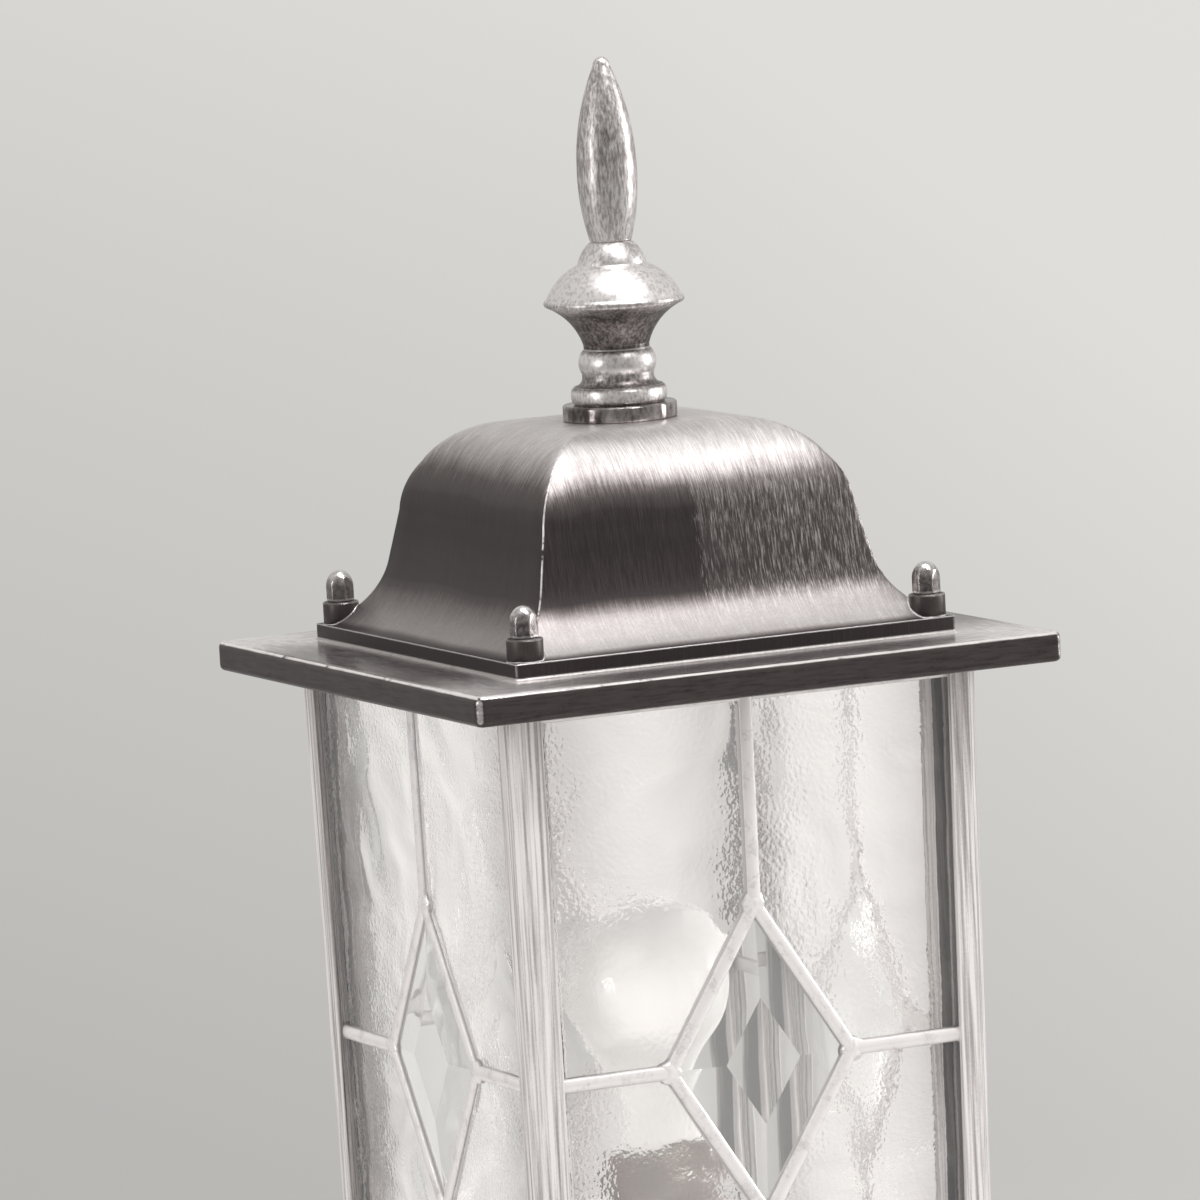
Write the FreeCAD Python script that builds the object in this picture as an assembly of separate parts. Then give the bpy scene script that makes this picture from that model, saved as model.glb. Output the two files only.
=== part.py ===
"""Post top lantern: a square leaded-glass lantern that slides over the top of a garden post.

Millimetres, +Z up. The origin is the centre of the fitter's mouth, where the post goes in.
The front panel faces -Y and the left panel faces -X.

An outline is a start point and its steps. A step of two numbers is a line to that point. A
step of three is an arc to that point, and its third number is how far the arc bows to the
right of its chord, which is outwards on an outline that runs up.
"""
import FreeCAD, Part
import math
import os

from FreeCAD import Vector

# Post fitter: the round socket that slides over the post
POST_BORE_R = 38.5
FITTER_WALL = 4.5
FITTER_DEPTH = 68.0
FITTER_WEB = 6.0
FITTER_BEAD = 2.0
FITTER_BEAD_HEIGHT = 7.0

# Cable hole through the fitter's web, and its grommet
CABLE_HOLE_R = 9.0
GROMMET_WALL = 2.5
GROMMET_LIP = 3.0
GROMMET_LIP_THICK = 2.0

# Set screws that grip the post
SET_SCREW_COUNT = 3
SET_SCREW_R = 3.0
SET_SCREW_HEIGHT = 24.0
SET_SCREW_BOSS_R = 7.0
SET_SCREW_BOSS = 4.0
SET_SCREW_TIP_GAP = 0.5
SET_SCREW_STANDOFF = 3.5
SET_SCREW_FLATS = 10.0
SET_SCREW_HEAD = 4.0

# Base casting: a hollow square ogee
CASTING_HEIGHT = 42.0
CASTING_FOOT_RIM = 3.0
CASTING_TOP_INSET = 1.3
CASTING_BULGE = 9.0
CASTING_BULGE_HEIGHT = 16.0
CASTING_BULGE_BOW = 2.7
CASTING_SWEEP_BOW = -5.3
CASTING_LEDGE = 2.0
CASTING_LIP = 5.0
CASTING_WALL = 3.5
CASTING_FLOOR = 5.0
CASTING_PILLAR_R = 4.8
CASTING_SCREW_INSET = 14.0

# Body of posts and glass, which tapers a little downwards
BODY_HEIGHT = 244.0
BODY_TOP_HALF = 84.5
BODY_TAPER = 3.2

# Base plate under the glass
BASE_OVERHANG = 9.7
BASE_PLATE_THICK = 8.0
DRAIN_HOLE_R = 2.5
DRAIN_HOLE_PLACE = 45.0

# Corner posts
POST_LEG = 10.9
POST_LEG_THICK = 2.0
POST_CHAMFER = 4.1
POST_CORE_R = 4.4
POST_CORE_PLACE = 11.9
POST_RIB = 5.8
POST_NECK = 3.5

# Leaded panels
CAME_WIDTH = 4.8
CAME_FLANGE = 0.9
CAME_HEART = 1.2
BORDER_WIDTH = 3.2
GLASS_THICK = 3.0
PANEL_GAP = 0.1
PANEL_SIDE_GAP = 0.2
SEAL_THICK = 1.5
SEAL_WIDTH = 3.5
DIAMOND_HALF_WIDTH = 33.0
DIAMOND_HALF_HEIGHT = 51.4
BEVEL_WIDTH = 16.5
BEVEL_RISE = 1.6
BEVEL_ROOT = 0.5

# Eaves plate
EAVES_OVERHANG = 20.5
EAVES_THICK = 10.0
EAVES_WINDOW_INSET = 22.5
PLATE_EDGE_R = 2.0
PLATE_CORNER_R = 3.0

# Roof dome, with each place on its bell given as inwards from the skirt and up from the plate
ROOF_CORNER = 7.1
ROOF_SKIRT = 5.5
ROOF_LEDGE = 2.2
ROOF_FLARE_IN = 19.5
ROOF_FLARE_HEIGHT = 27.0
ROOF_FLARE_BOW = -3.4
ROOF_SIDE_IN = 22.9
ROOF_SIDE_HEIGHT = 43.5
ROOF_SHOULDER_IN = 29.2
ROOF_SHOULDER_HEIGHT = 59.6
ROOF_SHOULDER_BOW = 1.3
ROOF_CROWN_HALF = 29.0
ROOF_CROWN_BOW = 3.1
ROOF_HEIGHT = 72.4
ROOF_WALL = 3.0
ROOF_BOSS_R = 6.0
ROOF_BOSS_HEIGHT = 12.9
ROOF_BOSS_EDGE = 0.5

# Roof studs and cap nuts
STUD_R = 2.5
STUD_DEPTH = 14.0
STUD_TOP_GAP = 0.6
NUT_FLATS = 8.0
NUT_HEX = 5.8
NUT_CHAMFER = 0.5
NUT_DOME_R = 3.4
NUT_DOME = 4.8
NUT_SKIN = 2.2

# Finial base ring
RING_R = 18.9
RING_HEIGHT = 5.3
RING_EDGE = 0.8

# Finial urn, with each height measured from the urn's own foot
URN_FOOT_R = 15.6
URN_FOOT_HEIGHT = 4.9
URN_FOOT_BOW = 0.3
URN_FOOT_EDGE = 0.9
URN_WAIST_R = 11.9
URN_WAIST_HEIGHT = 9.4
URN_WAIST_BOW = -1.0
URN_BEAD_FOOT = 10.1
URN_BEAD_TOP = 17.5
URN_BEAD_BOW = 1.2
URN_BEAD_STEP = 0.5
URN_NECK_R = 10.9
URN_NECK_HEIGHT = 19.4
URN_BRIM_R = 22.3
URN_BRIM_FOOT = 32.4
URN_BRIM_TOP = 35.0
URN_BRIM_BOW = 0.95
URN_FLARE_BOW = -1.9
URN_COLLAR_R = 11.4
URN_COLLAR_HEIGHT = 45.9
URN_CUP_BOW = 1.5
URN_COLLAR_BOW = 0.8
URN_HEIGHT = 53.2

# Finial spear
SPEAR_FOOT_R = 6.9
SPEAR_FOOT_EDGE = 0.5
SPEAR_R = 9.9
SPEAR_WIDEST = 24.0
SPEAR_LOWER_BOW = 0.9
SPEAR_UPPER_BOW = 1.8
SPEAR_TIP_R = 2.8
SPEAR_HEIGHT = 60.8

# Stud, washer and nut that hold the finial
FINIAL_STUD_R = 3.0
FINIAL_STUD_REACH = 16.0
FINIAL_STUD_TAIL = 2.0
FINIAL_NUT_FLATS = 10.0
FINIAL_NUT_HEIGHT = 5.0
FINIAL_WASHER_R = 9.0
FINIAL_WASHER_THICK = 1.6

# Lamp
LAMP_R = 30.0
LAMP_HEIGHT = 84.0
LAMP_NECK_R = 12.9
LAMP_NECK_FLARE = 1.0
LAMP_NECK_HEIGHT = 10.0
LAMP_SHOULDER_BOW = -2.0
LAMP_JOIN_ANGLE = -40.0
LAMP_WALL = 0.8
CAP_R = 13.1
CAP_LENGTH = 21.0
CAP_COLLAR = 5.0
CAP_BEVEL = 1.5
CAP_TIP = 3.0
CAP_TIP_R = 4.5
THREAD_DEPTH = 0.9
THREAD_PITCH = 3.6
STEM_FOOT_R = 9.0
STEM_TOP_R = 3.4
STEM_FLARE = 19.0
STEM_BOW = -1.7
STEM_HEIGHT = 24.0
FILAMENT_HALF = 11.0
FILAMENT_RISE = 5.0
LEAD_R = 0.4

# Lampholder
HOLDER_R = 19.5
HOLDER_LENGTH = 54.0
HOLDER_SPLIT = 22.0
HOLDER_WALL = 3.0
HOLDER_RIM_R = 3.0
HOLDER_FOOT_R = 12.0
HOLDER_FOOT_HEIGHT = 5.0
HOLDER_BELL_HEIGHT = 15.0
HOLDER_BELL_BOW = 2.3
HOLDER_SOCKET = 7.0
LAMP_SEAT = 1.0
SLEEVE_GAP = 0.4
SLEEVE_THICK = 0.6
SLEEVE_DROP = 4.0
CORE_THICK = 6.0
CORE_HOLE_R = 1.6
CORE_HOLE_PLACE = 8.0
TONGUE_THICK = 0.6
TONGUE_HALF_WIDTH = 2.5
TONGUE_HALF_LENGTH = 4.0
TONGUE_RISE = 1.6

# Hollow pillar that carries the lampholder
PILLAR_R = 5.0
PILLAR_BORE_R = 3.5
PILLAR_RISE = 27.0
PILLAR_TAIL = 8.0
PILLAR_NUT_FLATS = 14.0
PILLAR_NUT_HEIGHT = 4.0

# Screws
SCREW_R = 2.0
SCREW_HEAD_R = 3.8
SCREW_HEAD = 2.4
SCREW_LENGTH = 12.0
SCREW_SLOT_HALF = 0.4
SCREW_SLOT_DEPTH = 1.2
POST_SCREW_LENGTH = 24.0
FITTER_SCREW_LENGTH = 10.5
FITTER_SCREW_PLACE = 28.0

# Electrical fittings in the base casting
TERMINAL_WAYS = 3
TERMINAL_PITCH = 10.0
TERMINAL_WIDTH = 14.0
TERMINAL_HEIGHT = 16.0
TERMINAL_PLACE = 28.0
TERMINAL_WAY_R = 1.8
TERMINAL_WAY_HEIGHT = 6.0
TERMINAL_SCREW_LENGTH = 7.0
TERMINAL_SCREW_SUNK = 0.5
EARTH_PLACE = 26.0
EARTH_HEAD = 3.0
EARTH_WASHER_R = 5.7
EARTH_WASHER_THICK = 1.0
WIRE_R = 1.1
WIRE_BEND_R = 8.0
WIRE_SPREAD = 1.6
WIRE_LEAD_IN = 3.0
WIRE_LEAD_OUT = 6.0

# Fits
HOLE_GAP = 0.3
THREAD_GAP = 0.05
NUT_THREAD_GAP = 0.1
MOVING_GAP = 0.35
CUT_PAST = 1.0

# Levels and widths worked out from the sizes above
FITTER_R = POST_BORE_R + FITTER_WALL
WEB_TOP = FITTER_DEPTH + FITTER_WEB
FLOOR_TOP = WEB_TOP + CASTING_FLOOR
CASTING_TOP = WEB_TOP + CASTING_HEIGHT
BODY_FOOT = CASTING_TOP + BASE_PLATE_THICK
BODY_TOP = BODY_FOOT + BODY_HEIGHT
EAVES_TOP = BODY_TOP + EAVES_THICK
CROWN = EAVES_TOP + ROOF_HEIGHT
URN_FOOT = CROWN + RING_HEIGHT
SPEAR_FOOT = URN_FOOT + URN_HEIGHT
HOLDER_FOOT = BODY_FOOT + PILLAR_RISE
HOLDER_TOP = HOLDER_FOOT + HOLDER_LENGTH
LAMP_FOOT = HOLDER_TOP + LAMP_SEAT
CORE_TOP = LAMP_FOOT - CAP_LENGTH - CAP_TIP - TONGUE_RISE
BODY_FOOT_HALF = BODY_TOP_HALF - BODY_TAPER
CASTING_TOP_HALF = BODY_FOOT_HALF - CASTING_TOP_INSET
CASTING_FOOT_HALF = FITTER_R + CASTING_FOOT_RIM
STUD_PLACE = BODY_TOP_HALF - POST_CORE_PLACE
ROOF_HALF = STUD_PLACE + ROOF_CORNER
GLASS_DEPTH = POST_LEG_THICK + PANEL_GAP + CAME_FLANGE

# A quarter circle's bow, as a share of its radius
QUARTER = 1 - math.sqrt(0.5)

SIDES = {"front": (0, -1), "right": (1, 0), "back": (0, 1), "left": (-1, 0)}
CORNERS = {
    "front_left": (-1, -1),
    "front_right": (1, -1),
    "back_left": (-1, 1),
    "back_right": (1, 1),
}
ORIGIN = Vector(0, 0, 0)
UP = Vector(0, 0, 1)


def save(node, shape):
    """Write one node, and say what it holds."""
    solids = shape.Solids
    whole = solids[0] if len(solids) == 1 else Part.makeCompound(solids)
    whole.exportStep("parts/" + node + ".step")
    print(node, len(solids), "solid(s)", round(whole.Volume, 1), "mm3", "valid", whole.isValid())


# General shapes

def cylinder(radius, low, high, x=0.0, y=0.0):
    return Part.makeCylinder(radius, high - low, Vector(x, y, low), UP)


def tube(outer, inner, low, high, x=0.0, y=0.0):
    return cylinder(outer, low, high, x, y).cut(cylinder(inner, low, high, x, y))


def hole(radius, low, high, x=0.0, y=0.0):
    """Cylinder that runs past both levels, to cut with."""
    return cylinder(radius, low - CUT_PAST, high + CUT_PAST, x, y)


def block(half_x, half_y, low, high, x=0.0, y=0.0):
    return Part.makeBox(2 * half_x, 2 * half_y, high - low, Vector(x - half_x, y - half_y, low))


def hexagon(flats, low, high, x=0.0, y=0.0):
    """Hexagonal prism, with its size measured across the flats."""
    reach = flats / math.sqrt(3)
    corners = []
    for step in range(7):
        angle = math.radians(60 * step + 30)
        corners.append(Vector(x + reach * math.cos(angle), y + reach * math.sin(angle), low))
    return Part.Face(Part.makePolygon(corners)).extrude(Vector(0, 0, high - low))


def edges_along(start, steps):
    """Edges in the XZ plane from start through the outline's steps."""
    edges = []
    here = Vector(start[0], 0, start[1])
    for step in steps:
        end = Vector(step[0], 0, step[1])
        if len(step) == 3:
            chord = end - here
            right = Vector(chord.z, 0, -chord.x).normalize()
            middle = (here + end) * 0.5 + right * step[2]
            edges.append(Part.Arc(here, middle, end).toShape())
        else:
            edges.append(Part.LineSegment(here, end).toShape())
        here = end
    return edges


def turned(start, steps):
    """Round solid from a closed outline of radius and height."""
    face = Part.Face(Part.Wire(edges_along(start, steps + [start])))
    return face.revolve(ORIGIN, UP, 360)


def square_bell(start, steps, shrink=0.0):
    """Square solid with mitred corners, from one side's outline of half width and height.

    The outline runs from its foot to its top. With shrink, the whole outline is
    drawn in by that thickness.
    """
    right = edges_along(start, steps)
    left = [edge.mirror(ORIGIN, Vector(1, 0, 0)) for edge in right]
    foot = edges_along(start, [(-start[0], start[1])])
    top = edges_along(steps[-1][:2], [(-steps[-1][0], steps[-1][1])])
    wire = Part.Wire(Part.__sortEdges__(right + left + foot + top))
    if shrink:
        wire = wire.makeOffset2D(-shrink)
    half = wire.BoundBox.XMax + CUT_PAST
    along_y = Part.Face(wire).extrude(Vector(0, 2 * half, 0))
    along_y.translate(Vector(0, -half, 0))
    along_x = along_y.copy()
    along_x.rotate(ORIGIN, UP, 90)
    return along_y.common(along_x)


def rims(shape, reach):
    """Level edges that reach at least that far along X."""
    return [edge for edge in shape.Edges if edge.BoundBox.ZLength < 0.01 and edge.BoundBox.XMax > reach]


def rounded_plate(half, low, high):
    plate = block(half, half, low, high)
    upright = [edge for edge in plate.Edges if edge.BoundBox.ZLength > 0.01]
    plate = plate.makeFillet(PLATE_CORNER_R, upright)
    return plate.makeFillet(PLATE_EDGE_R, rims(plate, -half))


def screw(x, y, top, length=SCREW_LENGTH, points=-1):
    """Countersunk screw with a slot, its head flush at height top and its shank along points."""
    head = Part.makeCone(SCREW_HEAD_R, SCREW_R, SCREW_HEAD, Vector(x, y, top), UP * points)
    shank = Part.makeCylinder(SCREW_R, length, Vector(x, y, top), UP * points)
    low, high = sorted((top, top + points * SCREW_SLOT_DEPTH))
    return head.fuse(shank).cut(block(SCREW_HEAD_R, SCREW_SLOT_HALF, low, high, x, y))


def screw_hole(x, y, top, length=SCREW_LENGTH, points=-1):
    """What a countersunk screw takes out of the piece that it goes through."""
    gap = THREAD_GAP
    head = Part.makeCone(SCREW_HEAD_R + gap, SCREW_R + gap, SCREW_HEAD, Vector(x, y, top), UP * points)
    shank = Part.makeCylinder(SCREW_R + gap, length + gap, Vector(x, y, top), UP * points)
    return head.fuse(shank)


def rounded_path(points, radius):
    """Wire of straight runs through the points, with an arc of that radius at each turn."""
    edges = []
    here = points[0]
    for corner, after in zip(points[1:-1], points[2:]):
        arriving = (corner - here).normalize()
        leaving = (after - corner).normalize()
        half_turn = arriving.getAngle(leaving) / 2
        reach = radius * math.tan(half_turn)
        turn_in = corner - arriving * reach
        turn_out = corner + leaving * reach
        inwards = (leaving - arriving).normalize()
        middle = corner + inwards * (radius / math.cos(half_turn) - radius)
        edges.append(Part.LineSegment(here, turn_in).toShape())
        edges.append(Part.Arc(turn_in, middle, turn_out).toShape())
        here = turn_out
    edges.append(Part.LineSegment(here, points[-1]).toShape())
    return Part.Wire(edges)


# Places on the tapering body

def body_half(level):
    """Half width of the body, over the posts' outer faces, at a level."""
    return BODY_TOP_HALF - BODY_TAPER * (BODY_TOP - level) / BODY_HEIGHT


def panel_place(side, across, level, depth):
    """Point on a side panel: across from its middle, up at level, and depth in from the posts' faces."""
    out_x, out_y = side
    out = body_half(level) - depth
    return Vector(out_x * out - out_y * across, out_y * out + out_x * across, level)


def panel_slab(side, outline, depth, thick):
    """Flat piece in a side's sloping plane, from an outline of (across, level)."""
    corners = [panel_place(side, across, level, depth) for across, level in outline]
    face = Part.Face(Part.makePolygon(corners + [corners[0]]))
    return face.extrude(Vector(-side[0] * thick, -side[1] * thick, 0))


# Post fitter

def set_screw_angles():
    return [90 + 360 / SET_SCREW_COUNT * number for number in range(SET_SCREW_COUNT)]


def radial(shape, angle):
    turned_shape = shape.copy()
    turned_shape.rotate(ORIGIN, UP, angle)
    return turned_shape


def radial_cylinder(radius, start, end):
    return Part.makeCylinder(radius, end - start, Vector(start, 0, SET_SCREW_HEIGHT), Vector(1, 0, 0))


def fitter_screw_places():
    """Halfway between the set screws, as seen from above."""
    places = []
    for angle in set_screw_angles():
        turn = math.radians(angle + 180 / SET_SCREW_COUNT)
        places.append((FITTER_SCREW_PLACE * math.cos(turn), FITTER_SCREW_PLACE * math.sin(turn)))
    return places


def post_fitter():
    boss_end = FITTER_R + SET_SCREW_BOSS
    fitter = turned(
        (0, 0),
        [(FITTER_R, 0), (FITTER_R, FITTER_BEAD_HEIGHT, FITTER_BEAD), (FITTER_R, WEB_TOP), (0, WEB_TOP)],
    )
    for angle in set_screw_angles():
        boss = radial_cylinder(SET_SCREW_BOSS_R, POST_BORE_R, boss_end)
        fitter = fitter.fuse(radial(boss, angle))
    fitter = fitter.cut(cylinder(POST_BORE_R, -CUT_PAST, FITTER_DEPTH))
    fitter = fitter.cut(hole(CABLE_HOLE_R, FITTER_DEPTH, WEB_TOP))
    lip_r = CABLE_HOLE_R + GROMMET_LIP + THREAD_GAP
    fitter = fitter.cut(cylinder(lip_r, FITTER_DEPTH, FITTER_DEPTH + GROMMET_LIP_THICK))
    for angle in set_screw_angles():
        way = radial_cylinder(SET_SCREW_R + NUT_THREAD_GAP, POST_BORE_R - CUT_PAST, boss_end + CUT_PAST)
        fitter = fitter.cut(radial(way, angle))
    for x, y in fitter_screw_places():
        fitter = fitter.cut(screw_hole(x, y, FITTER_DEPTH, FITTER_SCREW_LENGTH, 1))
    return fitter


def set_screw(angle):
    """Hexagon-head screw, backed out until its tip is just clear of the bore."""
    tip = POST_BORE_R + SET_SCREW_TIP_GAP
    seat = FITTER_R + SET_SCREW_BOSS + SET_SCREW_STANDOFF
    shank = radial_cylinder(SET_SCREW_R, tip, seat + SET_SCREW_HEAD / 2)
    head = hexagon(SET_SCREW_FLATS, seat, seat + SET_SCREW_HEAD)
    head.rotate(ORIGIN, Vector(0, 1, 0), 90)
    head.translate(Vector(0, 0, SET_SCREW_HEIGHT))
    return radial(shank.fuse(head), angle)


# Base casting and base plate

def casting_outline(top):
    lip_foot = CASTING_TOP - CASTING_LIP
    start = (CASTING_FOOT_HALF, WEB_TOP)
    steps = [
        (CASTING_FOOT_HALF + CASTING_BULGE, WEB_TOP + CASTING_BULGE_HEIGHT, CASTING_BULGE_BOW),
        (CASTING_TOP_HALF - CASTING_LEDGE, lip_foot, CASTING_SWEEP_BOW),
        (CASTING_TOP_HALF, lip_foot),
        (CASTING_TOP_HALF, top),
    ]
    return start, steps


def casting_screw_places():
    place = CASTING_TOP_HALF - CASTING_SCREW_INSET
    return [(place, 0), (0, place), (-place, 0), (0, -place)]


def base_casting():
    outside = square_bell(*casting_outline(CASTING_TOP))
    inside = square_bell(*casting_outline(CASTING_TOP + CASTING_WALL), CASTING_WALL)
    inside = inside.cut(block(CASTING_TOP_HALF, CASTING_TOP_HALF, WEB_TOP, FLOOR_TOP))
    casting = outside.cut(inside)
    for x, y in casting_screw_places():
        pillar = cylinder(CASTING_PILLAR_R, CASTING_TOP - 2 * SCREW_LENGTH, CASTING_TOP, x, y)
        casting = casting.fuse(pillar.common(outside))
    for x, y in casting_screw_places():
        casting = casting.cut(screw_hole(x, y, BODY_FOOT))
    casting = casting.cut(hole(CABLE_HOLE_R, WEB_TOP, FLOOR_TOP))
    for x, y in fitter_screw_places():
        casting = casting.cut(screw_hole(x, y, FITTER_DEPTH, FITTER_SCREW_LENGTH, 1))
    return casting.cut(cylinder(SCREW_R + THREAD_GAP, WEB_TOP, FLOOR_TOP + CUT_PAST, -EARTH_PLACE))


def post_screw_place(corner):
    place = BODY_FOOT_HALF - POST_CORE_PLACE
    return corner[0] * place, corner[1] * place


def base_plate():
    plate = rounded_plate(BODY_FOOT_HALF + BASE_OVERHANG, CASTING_TOP, BODY_FOOT)
    plate = plate.cut(hole(PILLAR_R + HOLE_GAP, CASTING_TOP, BODY_FOOT))
    for corner in CORNERS.values():
        x, y = corner[0] * DRAIN_HOLE_PLACE, corner[1] * DRAIN_HOLE_PLACE
        plate = plate.cut(hole(DRAIN_HOLE_R, CASTING_TOP, BODY_FOOT, x, y))
        plate = plate.cut(screw_hole(*post_screw_place(corner), CASTING_TOP, POST_SCREW_LENGTH, 1))
    for x, y in casting_screw_places():
        plate = plate.cut(screw_hole(x, y, BODY_FOOT))
    return plate


# Corner posts and panels

def post_section():
    """The post's angle, rib and neck in the front left corner, as (across, along) in from that corner."""
    leg, thick, cut = POST_LEG, POST_LEG_THICK, POST_CHAMFER
    inner_cut = cut - thick * (2 - math.sqrt(2))
    angle = [
        (cut, 0), (leg, 0), (leg, thick), (thick + inner_cut, thick),
        (thick, thick + inner_cut), (thick, leg), (0, leg), (0, cut),
    ]
    rib_end = thick + POST_RIB
    rib = [(thick, thick), (rib_end, thick), (rib_end, rib_end), (thick, rib_end)]
    neck_start = rib_end - POST_NECK / 4
    neck_end = neck_start + POST_NECK
    neck = [(neck_start, neck_start), (neck_end, neck_start), (neck_end, neck_end), (neck_start, neck_end)]
    return [angle, rib, neck]


def corner_post(corner):
    """Extruded post, leaning with the body's taper."""
    run = Vector(-corner[0] * BODY_TAPER, -corner[1] * BODY_TAPER, -BODY_HEIGHT)

    def place(across, along):
        return Vector(corner[0] * (BODY_TOP_HALF - across), corner[1] * (BODY_TOP_HALF - along), BODY_TOP)

    core_centre = place(POST_CORE_PLACE, POST_CORE_PLACE)
    post = Part.Face(Part.Wire(Part.makeCircle(POST_CORE_R, core_centre, UP))).extrude(run)
    for outline in post_section():
        corners = [place(*point) for point in outline]
        post = post.fuse(Part.Face(Part.makePolygon(corners + [corners[0]])).extrude(run))
    post = post.removeSplitter()
    post = post.cut(hole(STUD_R + THREAD_GAP, BODY_TOP - STUD_DEPTH, BODY_TOP, *stud_place(corner)))
    return post.cut(screw_hole(*post_screw_place(corner), CASTING_TOP, POST_SCREW_LENGTH, 1))


def panel_edge(level):
    """Half width of a panel, which stops at the post's rib."""
    return body_half(level) - POST_LEG_THICK - POST_RIB - PANEL_SIDE_GAP


def panel_levels():
    return BODY_FOOT + PANEL_GAP, BODY_TOP - SEAL_THICK - PANEL_GAP


def panel_middle():
    return BODY_FOOT + BODY_HEIGHT / 2


def diamond_growth():
    """How far the diamond's top and side points move when its edges move by one."""
    slope = math.hypot(DIAMOND_HALF_WIDTH, DIAMOND_HALF_HEIGHT)
    return slope / DIAMOND_HALF_WIDTH, slope / DIAMOND_HALF_HEIGHT


def diamond(inset):
    """Diamond outline drawn in from the centre line of its cames by inset."""
    tall, wide = diamond_growth()
    half_height = DIAMOND_HALF_HEIGHT - inset * tall
    half_width = DIAMOND_HALF_WIDTH - inset * wide
    middle = panel_middle()
    return [(0, middle + half_height), (half_width, middle), (0, middle - half_height), (-half_width, middle)]


def pane(right, upper, inset, border):
    """One textured pane, inset from the cames' centre lines and border in from the panel's edge."""
    low, high = panel_levels()
    tall, wide = diamond_growth()
    middle = panel_middle()
    turn = 1 if upper else -1
    end = high - border if upper else low + border
    start = middle + turn * inset
    near = DIAMOND_HALF_WIDTH + inset * wide - inset * DIAMOND_HALF_WIDTH / DIAMOND_HALF_HEIGHT
    peak = DIAMOND_HALF_HEIGHT + inset * tall - inset * DIAMOND_HALF_HEIGHT / DIAMOND_HALF_WIDTH
    points = [
        (inset, end),
        (panel_edge(end) - border, end),
        (panel_edge(start) - border, start),
        (near, start),
        (inset, middle + turn * peak),
    ]
    side = 1 if right else -1
    return [(side * across, level) for across, level in points]


def pane_outlines(inset, border):
    return [pane(right, upper, inset, border) for right in (True, False) for upper in (True, False)]


def leading(side):
    """Lattice of cames: an outer and an inner flange, joined by the thin heart between the panes."""
    low, high = panel_levels()
    edge = [
        (-panel_edge(low), low), (panel_edge(low), low),
        (panel_edge(high), high), (-panel_edge(high), high),
    ]
    flange = (CAME_WIDTH / 2, BORDER_WIDTH)
    heart = (CAME_HEART / 2, CAME_FLANGE)
    layers = []
    for depth, thick, (inset, border) in (
        (GLASS_DEPTH - CAME_FLANGE, CAME_FLANGE, flange),
        (GLASS_DEPTH, GLASS_THICK, heart),
        (GLASS_DEPTH + GLASS_THICK, CAME_FLANGE, flange),
    ):
        layer = panel_slab(side, edge, depth, thick)
        for outline in pane_outlines(inset, border) + [diamond(inset)]:
            layer = layer.cut(panel_slab(side, outline, depth, thick))
        layers.append(layer)
    return layers[0].fuse(layers[1:]).removeSplitter()


def textured_glass(side):
    inset = CAME_HEART / 2 + THREAD_GAP
    border = CAME_FLANGE + THREAD_GAP
    panes = [panel_slab(side, outline, GLASS_DEPTH, GLASS_THICK) for outline in pane_outlines(inset, border)]
    return Part.makeCompound(panes)


def bevelled_glass(side):
    """Clear diamond with four ground bevels that rise to a smaller flat diamond outside."""
    slab = panel_slab(side, diamond(CAME_HEART / 2 + THREAD_GAP), GLASS_DEPTH, GLASS_THICK)
    outer = diamond(CAME_WIDTH / 2 + THREAD_GAP)
    root = [panel_place(side, *point, GLASS_DEPTH + BEVEL_ROOT) for point in outer]
    rim = [panel_place(side, *point, GLASS_DEPTH) for point in outer]
    top = [panel_place(side, *point, GLASS_DEPTH - BEVEL_RISE) for point in diamond(BEVEL_WIDTH)]
    wires = [Part.makePolygon(ring + [ring[0]]) for ring in (root, rim, top)]
    return slab.fuse(Part.makeLoft(wires, True, True))


def panel_seal(side):
    """Seal strip between a panel's top edge and the eaves plate."""
    low, high = BODY_TOP - SEAL_THICK, BODY_TOP
    half = panel_edge(low)
    outline = [(-half, low), (half, low), (half, high), (-half, high)]
    return panel_slab(side, outline, GLASS_DEPTH + (GLASS_THICK - SEAL_WIDTH) / 2, SEAL_WIDTH)


# Eaves plate, roof and its fixings

def stud_place(corner):
    return corner[0] * STUD_PLACE, corner[1] * STUD_PLACE


def nut_top():
    return EAVES_TOP + ROOF_BOSS_HEIGHT + NUT_HEX + NUT_DOME


def stud_top():
    return nut_top() - NUT_SKIN - STUD_TOP_GAP


def eaves_plate():
    plate = rounded_plate(BODY_TOP_HALF + EAVES_OVERHANG, BODY_TOP, EAVES_TOP)
    window = BODY_TOP_HALF - EAVES_WINDOW_INSET
    plate = plate.cut(block(window, window, BODY_TOP - CUT_PAST, EAVES_TOP + CUT_PAST))
    for corner in CORNERS.values():
        plate = plate.cut(hole(STUD_R + THREAD_GAP, BODY_TOP, EAVES_TOP, *stud_place(corner)))
    return plate


def roof_stud(corner):
    return cylinder(STUD_R, BODY_TOP - STUD_DEPTH, stud_top(), *stud_place(corner))


def roof_outline(foot):
    """Half outline of the bell, from a given foot level up to the crown."""
    ledge = EAVES_TOP + ROOF_SKIRT
    start = (ROOF_HALF, foot)
    steps = [
        (ROOF_HALF, ledge),
        (ROOF_HALF - ROOF_LEDGE, ledge),
        (ROOF_HALF - ROOF_FLARE_IN, EAVES_TOP + ROOF_FLARE_HEIGHT, ROOF_FLARE_BOW),
        (ROOF_HALF - ROOF_SIDE_IN, EAVES_TOP + ROOF_SIDE_HEIGHT),
        (ROOF_HALF - ROOF_SHOULDER_IN, EAVES_TOP + ROOF_SHOULDER_HEIGHT, ROOF_SHOULDER_BOW),
        (ROOF_CROWN_HALF, CROWN, ROOF_CROWN_BOW),
    ]
    return start, steps


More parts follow.
